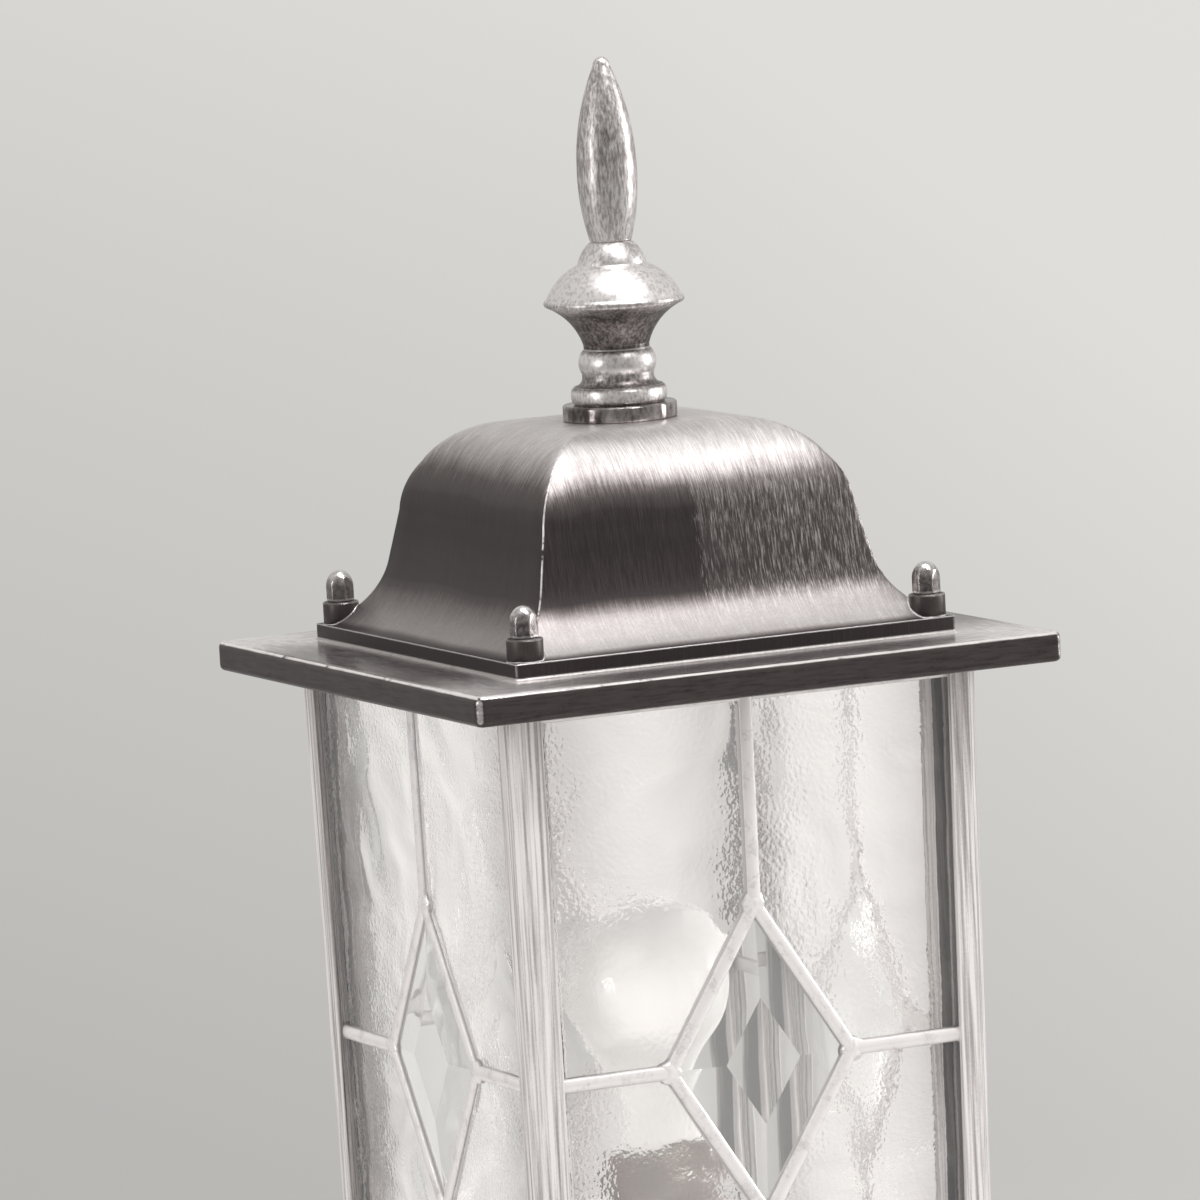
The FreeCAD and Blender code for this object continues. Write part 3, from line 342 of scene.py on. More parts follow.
def black_silver(
    name, share, strokes, rough=0.24, contrast=1.0, mottle=0.25, grain=30.0, shine=0.88, faces=False,
):
    """Black enamel with silver brushed over it.

    share says how silver each place is, and contrast how strong its brush marks
    are, each as a number or a function of the finish. strokes is the marks'
    scale along X, Y and Z, or on a square piece's faces along their width, their
    slope and Z. mottle and grain are the strength and scale of its clouds, and
    shine is how metallic the silver is.
    """
    finish = Finish(name)
    rounded, worn = finish.soft_edges(sizes().wear_radius)
    brush = finish.on_faces() if faces else finish.place
    fine = finish.noise(strokes, detail=3.0, roughness=0.6, place=brush)
    broad = finish.noise(tuple(value / 5 for value in strokes), place=brush)
    cloud = finish.noise(grain, detail=4.0, roughness=0.6)
    speck = finish.noise(1300.0)
    base = share(finish) if callable(share) else share
    contrast = contrast(finish) if callable(contrast) else contrast
    brushed = (fine.rise(0.34, 0.66) - 0.5) * contrast + (broad - 0.5) * (0.5 * contrast)
    brushed = brushed + (cloud - 0.5) * mottle
    scratch = fine.rise(0.60, 0.78) * (base * 0.8 + 0.08) * 0.35
    reach = 1 - (1 - base) ** 4
    silver = (base + (brushed * 0.65 + (speck - 0.5) * 0.2) * reach + scratch).clamped()
    ragged = worn * finish.noise(160.0, detail=4.0, roughness=0.7).rise(0.18, 0.42)
    silver = silver.larger(ragged)
    pale = finish.mix(colours().tarnish, colours().silver, silver)
    tint = finish.mix(colours().dark_metal, pale, silver)
    dull = (rough + 0.10) - silver * 0.06 + (fine - 0.5) * 0.16
    lumps = fine * 0.5 + cloud * 0.8 + speck * 0.12
    return finish.surface(finish.principled(
        Base_Color=tint, Metallic=silver.rise(0.0, 0.14) * shine, Roughness=dull,
        Normal=finish.bump(lumps, 0.03 * MM, 0.5, rounded), Specular_IOR_Level=0.3,
    ))


def strokes_on_the_front(finish, x, y, height):
    """Short strokes of silver on the right half of the roof's front, over its dark side."""
    marks = finish.noise((1900.0, 210.0, 210.0), detail=3.0, roughness=0.65, place=finish.on_faces())
    marks = marks.rise(0.44, 0.68)
    front = (y * -1 - abs(x)).rise(-0.3 * MM, 0.3 * MM)
    patch = (x + marks * (2.0 * MM) + 2.0 * MM).rise(0.0, 2.0 * MM) * front
    patch = patch * (marks * 0.26 + height.rise(0.30, 0.66) * 0.07 + 0.04)
    patch = patch * (1 + x.rise(5.0 * MM, 35.0 * MM) * 0.5)
    return patch * height.rise(0.15, 0.30) * (1 - height.rise(0.66, 0.84))


def up_the_roof(finish):
    """Silver towards the crown and the flare's foot, partly a painted highlight, and on the hips; the
    sides are left dark and the left face darker as painted shade.
    """
    x, y, _ = finish.axes()
    height = finish.height(EAVES_TOP, CROWN)
    left = x * -1 - abs(y)
    drift = (finish.noise((26.0, 26.0, 8.0)) - 0.5) * 0.16
    # Painted shade: the left face's bands are shifted, as on the side turned away from the key lamp
    drift = drift - left.rise(0.0, 6.0 * MM) * 0.055
    # The shoulder's and flare foot's silver is partly brushed silver and partly a painted highlight
    rim = [(0.0, 0.80), (0.009, 0.75), (0.013, 0.02), (0.073, 0.02)]
    flare = [(0.095, 0.70), (0.14, 0.64), (0.22, 0.36), (0.285, 0.04)]
    side_and_crown = [(0.50, 0.01), (0.66, 0.02), (0.76, 0.16), (0.825, 0.48), (0.90, 0.76), (1.0, 0.85)]
    level = finish.ramp(height + drift * height, rim + flare + side_and_crown)
    # Painted shade: the left face is darker below the shoulder
    level = level * (1 - left.rise(0.0, 3.0 * MM) * (1 - height.rise(0.28, 0.40)) * 0.35)
    patch = strokes_on_the_front(finish, x, y, height)
    ragged = finish.noise(230.0, detail=3.0, roughness=0.7).rise(0.34, 0.50)
    hip = (1 - abs(abs(x) - abs(y)).rise(0.22 * MM, 0.66 * MM)) * ragged * height.rise(0.08, 0.12)
    gap = ((abs(x) - STUD_PLACE) ** 2 + (abs(y) - STUD_PLACE) ** 2) ** 0.5
    boss = 1 - (gap - sizes().boss_radius).rise(0.1 * MM, 0.3 * MM)
    under_the_roof = (0.0, 0.0, EAVES_TOP - 20.0 * MM)
    level = (level + patch).larger(hip * 0.95) * finish.outside(under_the_roof)
    return level * (1 - boss) + boss * 0.10


def across_the_roof(finish):
    """Brush marks that fade out over the flare."""
    height = finish.height(EAVES_TOP, CROWN)
    return finish.ramp(height, [
        (0.0, 0.30), (0.10, 0.10), (0.22, 0.12), (0.34, 0.44), (0.74, 0.42), (1.0, 0.28),
    ])


def on_the_posts(finish):
    """Bright on the outer faces and chamfer of each post, dark on what faces the lamp, with painted
    reflection and shade on the inner faces.
    """
    x, y, z = finish.axes()
    half = body_half(z)
    face = (abs(x).larger(abs(y)) - half + 0.5 * MM).rise(0.0, 0.3 * MM)
    chamfer = (abs(x) + abs(y) - half * 2 + 4.8 * MM).rise(0.0, 0.4 * MM)
    streaks = finish.noise((460.0, 460.0, 5.0)).rise(0.50, 0.60)
    outer = face.larger(chamfer)
    normal = finish.node("ShaderNodeNewGeometry", output="Normal")
    inwards = finish.node("ShaderNodeCombineXYZ", values=(x * -1, y * -1, 0.0))
    turned_in = finish.vector("DOT_PRODUCT", normal, finish.vector("NORMALIZE", inwards), output=1)
    # Painted reflection: a pale band and a thin bright line on the inner faces, by which way each face
    # turns
    pale = turned_in.rise(-0.16, -0.08) * (1 - turned_in.rise(0.80, 0.86))
    line = turned_in.rise(-0.27, -0.23) * (1 - turned_in.rise(-0.16, -0.10))
    # Painted shade: these inner bands are dimmer on the back posts than on the front ones
    inner = (pale * 0.80).larger(line) * (0.40 + (y * -1).rise(0.0, 10.0 * MM) * 0.60)
    return outer * (0.74 + streaks * 0.24) + (1 - outer) * (inner + streaks * 0.10) + 0.01


def over_the_plate(finish):
    """Dark edges with a worn silver line along the top, and a top with painted sheen that pales towards
    its corners.
    """
    x, y, z = finish.axes()
    facing = finish.axes(finish.node("ShaderNodeNewGeometry", output="Normal"))[2]
    reach = abs(x).larger(abs(y))
    corner = (abs(x).smaller(abs(y)) / EAVES_HALF).rise(0.40, 0.90)
    ragged = finish.noise(120.0, detail=4.0, roughness=0.7).rise(0.26, 0.46)
    worn, fade = 1.2 * MM, 0.5 * MM
    line = (z - (EAVES_TOP - worn)).rise(0.0, fade) * (reach - (EAVES_HALF - worn)).rise(0.0, fade)
    foot = 1 - (reach - ROOF_HALF).rise(0.4 * MM, 1.6 * MM)
    upright = abs(x) + abs(y) - EAVES_HALF * 2 + PLATE_CORNER * 0.75
    # Painted sheen: upward faces get more silver, the most towards the corners
    top = facing.rise(0.6, 0.95) * (corner * 0.70 + foot * 0.2 + 0.14)
    return top + (line * 0.9).larger(upright.rise(0.0, 0.12 * PLATE_CORNER) * 0.6) * ragged + 0.06


def up_the_nut(finish):
    """Dark flats under a bright dome."""
    low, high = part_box("cap_nut_front_left")
    return finish.ramp(finish.height(low.z, high.z), [
        (0.0, 0.80), (0.07, 0.75), (0.11, 0.30), (0.45, 0.34), (0.62, 0.55), (1.0, 0.95),
    ])


def up_the_finial(finish):
    """Silver on the turned beads and brim, darker in the hollows between them."""
    return finish.ramp(finish.height(URN_FOOT, URN_TOP), [
        (0.0, 0.75), (0.08, 0.95), (0.11, 0.24), (0.17, 0.50), (0.22, 1.00), (0.30, 1.00), (0.345, 0.16),
        (0.40, 0.22), (0.56, 0.20), (0.62, 0.70), (0.68, 1.00), (0.86, 0.94), (1.0, 0.80),
    ])


def up_the_spear(finish):
    """Bright at the foot and the tip, and duller between them."""
    return finish.ramp(finish.height(SPEAR_FOOT, SPEAR_TOP), [
        (0.0, 0.90), (0.25, 0.82), (0.45, 0.62), (0.72, 0.66), (1.0, 0.80),
    ])


def brushed_lead():
    """Bright tinned lead, mottled grey, with painted shade where it meets the glass."""
    finish = Finish("brushed_lead")
    cloud = finish.noise(160.0, detail=3.0)
    speck = finish.noise(1100.0, detail=3.0, roughness=0.65)
    x, y, z = finish.axes()
    depth = body_half(z) - abs(x).larger(abs(y)) - GLASS_DEPTH
    off_the_glass = abs(depth - GLASS_THICK / 2) - GLASS_THICK / 2
    # Painted shade: the lead is darker close to the glass faces, in the crease along each came's foot
    shade = (cloud * 0.7 + speck * 0.5).rise(0.26, 0.62) * off_the_glass.rise(0.15 * MM, 0.75 * MM)
    lead = colours().came_metal
    return finish.surface(finish.principled(
        Base_Color=finish.mix(shaded(lead, 0.50), lead, shade), Metallic=0.30,
        Roughness=0.34 - shade * 0.14, Normal=finish.bump(cloud + speck * 0.25, 0.16 * MM, 0.6),
    ))


def see_lamps(finish, glass):
    """Glass that shadow rays go through, so that lamps light what is behind it."""
    shadow = finish.node("ShaderNodeLightPath", output="Is Shadow Ray")
    clear = finish.node("ShaderNodeBsdfTransparent", values={"Color": (0.9, 0.9, 0.9)})
    return finish.surface(finish.blend(glass, clear, shadow))


def textured_glass():
    """Rolled glass with long ripples and a fine hammered grain, and a painted glow that fades towards the
    posts.
    """
    finish = Finish("textured_glass")
    ripples = finish.noise((38.0, 38.0, 46.0), detail=0.0, distortion=0.5)
    grain = finish.noise(640.0, detail=1.0, roughness=0.45)
    where = finish.noise(24.0, detail=1.0).rise(0.35, 0.62)
    x, y, _ = finish.axes()
    # Painted glow: the panes give off the lamp's light, most in the middle of each side, less towards the
    # posts
    glow = 1 - (abs(x).smaller(abs(y)) / PANEL_HALF).rise(0.50, 0.92) * 0.88
    outer = finish.outside((0.0, 0.0, PANEL_MIDDLE))
    slope = finish.bump(ripples * outer, sizes().ripple)
    slope = finish.bump(grain * (0.25 + where * 0.75) * outer, sizes().hammer, 1.0, slope)
    return see_lamps(finish, finish.principled(
        Base_Color=colours().textured_glass, Roughness=0.012 + where * 0.03, IOR=1.5,
        Transmission_Weight=0.975, Normal=slope, Emission_Strength=0.108,
        Emission_Color=finish.mix((0.0, 0.0, 0.0), colours().lamp_light, glow),
    ))


def bevelled_glass():
    """Clear plate glass with ground and polished bevels, and a faint painted glow of the lamp's light."""
    finish = Finish("bevelled_glass")
    wave = finish.noise(45.0, detail=1.0)
    return see_lamps(finish, finish.principled(
        Base_Color=colours().bevelled_glass, Roughness=0.01 + wave * 0.02, IOR=1.52,
        Transmission_Weight=0.97, Normal=finish.bump(wave, 0.15 * MM),
        # Painted glow: the diamonds give off a little of the lamp's light
        Emission_Color=colours().lamp_light, Emission_Strength=0.09,
    ))


def pearl_glass():
    """The lamp's frosted glass, lit from within and brightest round the filament."""
    finish = Finish("pearl_glass")
    frost = finish.noise(600.0)
    height = finish.axes()[2]
    low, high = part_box("lamp_glass")
    filament = low.z * 0.42 + high.z * 0.58
    glow = 1 - (abs(height - filament) / (high.z - low.z)).rise(0.0, 0.40)
    turned_away = finish.node("ShaderNodeLayerWeight", output="Facing")
    glow = glow * (1 - turned_away.rise(0.03, 0.34))
    return finish.surface(finish.principled(
        Base_Color=finish.mix((0.58, 0.57, 0.55), (0.70, 0.69, 0.67), frost),
        Roughness=0.14 + frost * 0.06, Normal=finish.bump(frost, 0.03 * MM, 0.4),
        Emission_Color=finish.mix((0.46, 0.45, 0.44), colours().lamp_light, glow), Emission_Strength=0.37,
    ))


def clear_glass():
    """Clear glass of the lamp's stem."""
    finish = Finish("clear_glass")
    seed = finish.noise(300.0, detail=1.0)
    return see_lamps(finish, finish.principled(
        Base_Color=(0.95, 0.96, 0.95), Roughness=0.02 + seed * 0.02, IOR=1.5, Transmission_Weight=0.95,
        Normal=finish.bump(seed, 0.05 * MM, 0.5),
    ))


def worked_metal(name, tint, rough=0.30):
    """Plated or bare metal with fine marks and slight staining."""
    finish = Finish(name)
    rounded, worn = finish.soft_edges(0.3 * MM)
    marks = finish.noise(700.0, detail=3.0, roughness=0.6)
    cloud = finish.noise(90.0, detail=3.0)
    shade = (cloud * 0.6 + marks * 0.6 + worn * 0.3).rise(0.30, 0.80)
    return finish.surface(finish.principled(
        Base_Color=finish.mix(shaded(tint, 0.55), tint, shade), Metallic=1.0,
        Roughness=(rough + 0.12) - shade * 0.12, Normal=finish.bump(marks, 0.03 * MM, 0.5, rounded),
    ))


def moulded(name, tint, rough=0.4, fleck=0.25, size=260.0, coat=0.0):
    """Moulded or fired material with soft colour clouds and a fine surface."""
    finish = Finish(name)
    cloud = finish.noise(size / 4, detail=3.0)
    skin = finish.noise(size * 4)
    light = tuple(min(1.0, value * (1 + fleck) + 0.02 * fleck) for value in tint)
    return finish.surface(finish.principled(
        Base_Color=finish.mix(tint, light, (cloud + skin * 0.4).rise(0.5, 0.95)),
        Roughness=rough + (skin - 0.5) * 0.15, Coat_Weight=coat,
        Normal=finish.bump(skin + cloud * 0.5, 0.05 * MM, 0.4),
    ))


def studio_floor():
    """Pale floor that gives way to the backdrop's colour away from the lantern."""
    finish = Finish("studio_floor")
    dust = finish.noise(6.0)
    tint = colours().floor
    away = finish.vector("LENGTH", finish.place, output=1).rise(0.45, 1.15)
    away = away.larger(finish.node("ShaderNodeNewGeometry", output="Backfacing"))
    paper = finish.principled(Base_Color=finish.mix(tint, shaded(tint, 0.97), dust), Roughness=0.9)
    clear = finish.node("ShaderNodeBsdfTransparent")
    return finish.surface(finish.blend(paper, clear, away))


def dress(material, *nodes):
    """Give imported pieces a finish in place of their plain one."""
    for name in nodes:
        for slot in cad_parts[name].material_slots:
            slot.material = material


# Meshes

def add_object(name, data):
    """A new object in the scene."""
    made = bpy.data.objects.new(name, data)
    bpy.context.scene.collection.objects.link(made)
    return made


def add_mesh(name, bm):
    """A new object from a bmesh, which is freed."""
    mesh = bpy.data.meshes.new(name)
    bm.to_mesh(mesh)
    bm.free()
    return add_object(name, mesh)


def smooth_faces(bm, sharp):
    """Shade a bmesh smooth but for its edges that are sharper than so many degrees."""
    for face in bm.faces:
        face.smooth = True
    for edge in bm.edges:
        if len(edge.link_faces) == 2:
            edge.smooth = edge.calc_face_angle(0.0) < math.radians(sharp)


def finish_mesh(bm, name, body, material, sharp=35.0):
    """Turn a bmesh into a piece that rides on a body."""
    bmesh.ops.remove_doubles(bm, verts=bm.verts, dist=0.00001 * MM)
    bmesh.ops.recalc_face_normals(bm, faces=bm.faces)
    smooth_faces(bm, sharp)
    piece = add_mesh(name, bm)
    piece.data.materials.append(material)
    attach(piece, body)
    return piece


def outline(start, steps):
    """Points along lines and arcs; an arc's third number is its bow to the right of its chord."""
    spacing = 1.2 * MM
    points = [Vector(start)]
    for step in steps:
        here, end = points[-1], Vector(step[:2])
        chord = end - here
        count = max(1, round(chord.length / spacing))
        if len(step) == 2:
            points += [here.lerp(end, (i + 1) / count) for i in range(count)]
            continue
        right = Vector((chord.y, -chord.x)).normalized()
        bow = step[2]
        radius = (chord.length_squared / 4 + bow * bow) / (2 * bow)
        centre = (here + end) / 2 + right * (bow - radius)
        turn = (here - centre).angle_signed(end - centre)
        for i in range(count):
            points.append(centre + Matrix.Rotation(-turn * (i + 1) / count, 2) @ (here - centre))
    return points


def square_ring(half, radius, level):
    """Points round a square with rounded corners."""
    along_side, round_corner = 14, 5
    radius = min(radius, half)
    straight = half - radius
    points = []
    for quarter in range(4):
        turn = Matrix.Rotation(quarter * math.pi / 2, 2)
        for i in range(along_side):
            points.append(turn @ Vector((half, -straight + 2 * straight * i / along_side)))
        for i in range(round_corner):
            angle = math.pi / 2 * i / round_corner
            x, y = straight + radius * math.cos(angle), straight + radius * math.sin(angle)
            points.append(turn @ Vector((x, y)))
    return [Vector((point.x, point.y, level)) for point in points]


def round_ring(centre, level, radius, count, flats=None):
    """Points round an upright axis, kept within a hexagon's flats where their reach is given."""
    points = []
    for i in range(count):
        angle = 2 * math.pi * i / count
        reach = radius
        if flats:
            reach = min(radius, flats / math.cos((angle + math.pi / 6) % (math.pi / 3) - math.pi / 6))
        x, y = centre[0] + reach * math.cos(angle), centre[1] + reach * math.sin(angle)
        points.append(Vector((x, y, level)))
    return points


def skin_rings(bm, rings, closed=False):
    """Faces between rings of equally many points."""
    rows = [[bm.verts.new(point) for point in ring] for ring in rings]
    pairs = list(zip(rows, rows[1:])) + ([(rows[-1], rows[0])] if closed else [])
    for low, high in pairs:
        for i in range(len(low)):
            j = (i + 1) % len(low)
            bm.faces.new((low[i], low[j], high[j], high[i]))
    return rows


def fan(bm, row, tip):
    """Faces from a ring to one point."""
    point = bm.verts.new(tip)
    for i in range(len(row)):
        bm.faces.new((row[i], row[(i + 1) % len(row)], point))


def cut_away(piece, cutter):
    """Take a cutter's shape out of a piece."""
    modifier = piece.modifiers.new("cut", "BOOLEAN")
    modifier.operation = "DIFFERENCE"
    modifier.solver = "EXACT"
    modifier.object = cutter
    depsgraph = bpy.context.evaluated_depsgraph_get()
    mesh = bpy.data.meshes.new_from_object(piece.evaluated_get(depsgraph))
    piece.modifiers.clear()
    piece.data = mesh
    bpy.data.objects.remove(cutter)


def roof_outline(inset=0.0):
    """Half outline of the roof's bell, drawn in by a wall where inset is given."""
    h, z = ROOF_HALF, EAVES_TOP
    points = outline((h, z), [
        (h - 0.5 * MM, z + 0.7 * MM),
        (h - 0.5 * MM, z + 5.5 * MM),
        (h - 2.2 * MM, z + 5.5 * MM),
        (h - 19.5 * MM, z + 27.0 * MM, -3.4 * MM),
        (h - 22.9 * MM, z + 43.5 * MM),
        (h - 29.2 * MM, z + 59.6 * MM, 1.3 * MM),
        (29.0 * MM, CROWN, 3.1 * MM),
    ])
    if not inset:
        return points
    drawn = []
    for i, point in enumerate(points):
        before, after = points[max(i - 1, 0)], points[min(i + 1, len(points) - 1)]
        along = (after - before).normalized()
        drawn.append(point - Vector((along.y, -along.x)) * inset)
    drawn[0].y = z
    # The inside has no step over the rim, and its ceiling ends level
    drawn = [point for i, point in enumerate(drawn) if not 3 * MM < points[i].y - z < 7 * MM]
    drawn[-1] = Vector((points[-1].x - 0.6 * MM, CROWN - inset))
    return drawn


def drawn_in(ring, share):
    """A ring moved part of the way in to the finial stud's hole."""
    centre = Vector((0, 0, ring[0].z))
    return [p.lerp(Vector((p.x, p.y, 0)).normalized() * FINIAL_STUD_HOLE + centre, share) for p in ring]


def bell_rings():
    """Rings up the outside of the roof's bell, over its crown to the hole, and back inside."""
    rim_radius, inner_radius, rim_share, crown_share = 0.7 * MM, 0.8 * MM, 0.09, 0.7
    rings = []
    for half, level in roof_outline():
        up = (level - EAVES_TOP) / (CROWN - EAVES_TOP)
        radius = sizes().hip_radius * (1 + 1.6 * max(0.0, up - crown_share))
        rings.append(square_ring(half, rim_radius if up < rim_share else radius, level))
    over = [drawn_in(rings[-1], share) for share in (0.12, 0.3, 0.5, 0.7, 0.88, 1.0)]
    inside = [square_ring(half, inner_radius, level) for half, level in roof_outline(sizes().roof_wall)]
    under = [drawn_in(inside[-1], share) for share in (1.0, 0.6, 0.3, 0.0)]
    return rings + over + under + inside[-2::-1]


def boss_cutter(places, top):
    """Upright rods that clear the bell where its corner bosses stand."""
    s = sizes()
    radius = s.boss_radius - 0.05 * MM
    bm = bmesh.new()
    for x, y in places:
        bmesh.ops.create_cone(
            bm, cap_ends=True, segments=48, radius1=radius, radius2=radius,
            depth=4 * s.boss_height, matrix=Matrix.Translation((x, y, top)),
        )
    return add_mesh("boss_cutter", bm)


def make_roof():
    """The roof's hollow bell, with rounded hips, four corner bosses and their bores."""
    metal = black_silver(
        "brushed_roof", up_the_roof, (2300.0, 130.0, 130.0), 0.33, across_the_roof, faces=True,
    )
    bm = bmesh.new()
    skin_rings(bm, bell_rings(), closed=True)
    piece = finish_mesh(bm, "roof_bell", "roof", metal)
    places = [(x * STUD_PLACE, y * STUD_PLACE) for x in (-1, 1) for y in (-1, 1)]
    radius, top, edge = sizes().boss_radius, EAVES_TOP + sizes().boss_height, 0.5 * MM
    cut_away(piece, boss_cutter(places, top))
    bm = bmesh.new()
    bm.from_mesh(piece.data)
    round_edge = [
        (radius - edge + edge * math.sin(angle), top - edge + edge * math.cos(angle))
        for angle in (1.57, 1.05, 0.52, 0.0)
    ]
    boss = [(ROOF_STUD_HOLE, EAVES_TOP), (radius, EAVES_TOP), *round_edge, (ROOF_STUD_HOLE, top)]
    for place in places:
        skin_rings(bm, [round_ring(place, level, reach, 48) for reach, level in boss], closed=True)
    smooth_faces(bm, 35.0)
    bmesh.ops.recalc_face_normals(bm, faces=bm.faces)
    bm.to_mesh(piece.data)
    bm.free()
    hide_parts("roof_dome")


def make_cap_nut(corner, material):
    """A closed hexagon nut whose flats run up into a full dome."""
    low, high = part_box("cap_nut_" + corner)
    middle = (low + high) / 2
    flats = sizes().nut_flats / 2
    widest = flats / math.cos(math.pi / 6)
    shoulder, bore_top = low.z + 5.0 * MM, high.z - 2.2 * MM
    profile = [(low.z, widest - 0.7 * MM), (low.z + 0.35 * MM, widest - 0.2 * MM)]
    profile += [(low.z + 0.7 * MM, widest), (low.z + 2.5 * MM, widest), (shoulder, widest)]
    for step in range(1, 12):
        angle = math.pi / 2 * step / 12
        profile.append((shoulder + (high.z - shoulder) * math.sin(angle), widest * math.cos(angle)))
    rings = [round_ring(middle, level, NUT_BORE, 72) for level in (bore_top, low.z)]
    rings += [round_ring(middle, level, radius, 72, flats) for level, radius in profile]
    bm = bmesh.new()
    rows = skin_rings(bm, rings)
    fan(bm, rows[0], (middle.x, middle.y, bore_top + 0.6 * MM))
    fan(bm, rows[-1], (middle.x, middle.y, high.z))
    piece = finish_mesh(bm, "acorn_nut_" + corner, "cap_nut_" + corner, material, 22.0)
    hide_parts("cap_nut_" + corner)


# Leaded panels, in each side's own sloping plane

CAME_SPACING = 3.0 * MM
CAME_UNEVEN = 0.12 * MM
UNEVEN_SCALE = 160
CAME_BORDER = 1.2 * MM
HEART_HALF = 0.6 * MM
RIM_HEART_HALF = 0.45 * MM


def panel_place(side, across, level, depth):
    """Point on a panel: across from its middle, up at level, and depth in from the posts' faces."""
    out_x, out_y = side
    out = body_half(level) - depth
    return Vector((out_x * out - out_y * across, out_y * out + out_x * across, level))


def panel_edge(level, inset):
    """Half width of a panel at a level, less an inset."""
    edge_out = body_half(PANEL_TOP) - PANEL_HALF
    return body_half(level) - edge_out - inset


def panel_rim(inset):
    """A panel's four corners as (across, level), drawn in by an inset."""
    low, high = PANEL_FOOT + inset, PANEL_TOP - inset
    foot, top = panel_edge(low, inset), panel_edge(high, inset)
    return [(-foot, low), (foot, low), (top, high), (-top, high)]


def swept(bm, side, path, section, closed, seed):
    """A came along a path of (across, level), with mitred corners and a slight unevenness."""
    dense = []
    count = len(path)
    for i in range(count if closed else count - 1):
        a, b = Vector(path[i]), Vector(path[(i + 1) % count])
        steps = max(2, round((b - a).length / CAME_SPACING))
        dense += [a.lerp(b, j / steps) for j in range(steps)]
    if not closed:
        dense.append(Vector(path[-1]))
    last = len(dense) - 1
    rings = []
    for i, point in enumerate(dense):
        before = dense[i - 1] if closed or i else point
        after = dense[(i + 1) % len(dense)] if closed or i < last else point
        first = (point - before).normalized() if point != before else (after - point).normalized()
        second = (after - point).normalized() if point != after else first
        along = (first + second).normalized()
        across = Vector((along.y, -along.x))
        stretch = 1 / max(0.3, across.dot(Vector((first.y, -first.x))))
        uneven = noise.noise(Vector((point.x * UNEVEN_SCALE, point.y * UNEVEN_SCALE, seed)))
        width = stretch * (1 + 0.05 * uneven)
        ring = []
        for offset, depth in section:
            place = point + across * offset * width
            rise = depth - uneven * CAME_UNEVEN if depth < GLASS_DEPTH - 0.4 * MM else depth
            ring.append(panel_place(side, place.x, place.y, rise))
        rings.append(ring)
    rows = skin_rings(bm, rings, closed)
    if not closed:
        bm.faces.new(rows[0])
        bm.faces.new(rows[-1][::-1])


def glass_face(inner):
    """Depth of a pane's outer or inner face, and the way that leads off it."""
    return (GLASS_DEPTH + GLASS_THICK, 1) if inner else (GLASS_DEPTH, -1)


def rounded_section(half, rise, inner):
    """Half round lead lying on the glass, outside it or inside it."""
    count = 10
    face, out = glass_face(inner)
    face += out * 0.01 * MM
    angles = [math.pi * i / count for i in range(count + 1)]
    return [(half * math.cos(angle), face + out * rise * math.sin(angle) ** 0.8) for angle in angles]


def heart_section(half):
    """The bar of lead between the panes, a little past both of their faces."""
    outer, inner = GLASS_DEPTH - 0.3 * MM, GLASS_DEPTH + GLASS_THICK + 0.3 * MM
    return [(half, outer), (-half, outer), (-half, inner), (half, inner)]


def solder(bm, side, place, radius, rise, seed, inner):
    """A lumpy drop of solder over a joint."""
    levels, around = 7, 28
    face, out = glass_face(inner)
    rings = []
    for k in range(levels):
        slope = math.pi / 2 * k / levels
        ring = []
        for i in range(around):
            angle = 2 * math.pi * i / around
            x, y = math.cos(angle), math.sin(angle)
            lump = noise.noise(Vector((x * 1.3, y * 1.3, seed + 0.4 * k)))
            reach = radius * math.cos(slope) * (1 + 0.22 * lump)
            depth = face + out * rise * math.sin(slope) * (1 + 0.12 * lump)
            ring.append(panel_place(side, place[0] + reach * x, place[1] + reach * y, depth))
        rings.append(ring)
    rows = skin_rings(bm, rings)
    fan(bm, rows[-1], panel_place(side, place[0], place[1], face + out * rise))
    bm.faces.new(rows[0][::-1])


def make_cames():
    """The lattice of rounded lead on each side, soldered at its joints."""
    s = sizes()
    metal = brushed_lead()
    wide, tall = DIAMOND
    middle, edge = PANEL_MIDDLE, panel_edge(PANEL_MIDDLE, CAME_BORDER)
    top, right, foot, left = (0, middle + tall), (wide, middle), (0, middle - tall), (-wide, middle)
    diamond = [top, right, foot, left]
    ends = [(0, PANEL_TOP - CAME_BORDER), (0, PANEL_FOOT + CAME_BORDER), (edge, middle), (-edge, middle)]
    straights = [[ends[0], top], [foot, ends[1]], [right, ends[2]], [ends[3], left]]
    for number, (name, side) in enumerate(SIDES.items()):
        bm = bmesh.new()
        for inner in (False, True):
            rise = 1.1 * MM if inner else s.came_rise
            section = rounded_section(s.came_width / 2, rise, inner)
            swept(bm, side, diamond, section, True, number * 7.0)
            for k, path in enumerate(straights):
                swept(bm, side, path, section, False, number * 7.0 + k + 1)
            rim = rounded_section(CAME_BORDER, 0.85 * MM, inner)
            swept(bm, side, panel_rim(CAME_BORDER), rim, True, number * 7.0 + 6)
            for k, place in enumerate(diamond):
                solder(bm, side, place, s.solder_radius, rise * 1.12, number * 11.0 + k, inner)
            for k, place in enumerate(ends):
                solder(bm, side, place, s.solder_radius * 0.72, rise * 0.98, number * 11.0 + 5 + k, inner)
        swept(bm, side, diamond, heart_section(HEART_HALF), True, 0.0)
        for path in straights:
            swept(bm, side, path, heart_section(HEART_HALF), False, 0.0)
        swept(bm, side, panel_rim(RIM_HEART_HALF), heart_section(RIM_HEART_HALF), True, 0.0)
        piece = finish_mesh(bm, "cames_" + name, "lantern_body", metal, 50.0)
        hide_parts("leading_" + name)


# Studio

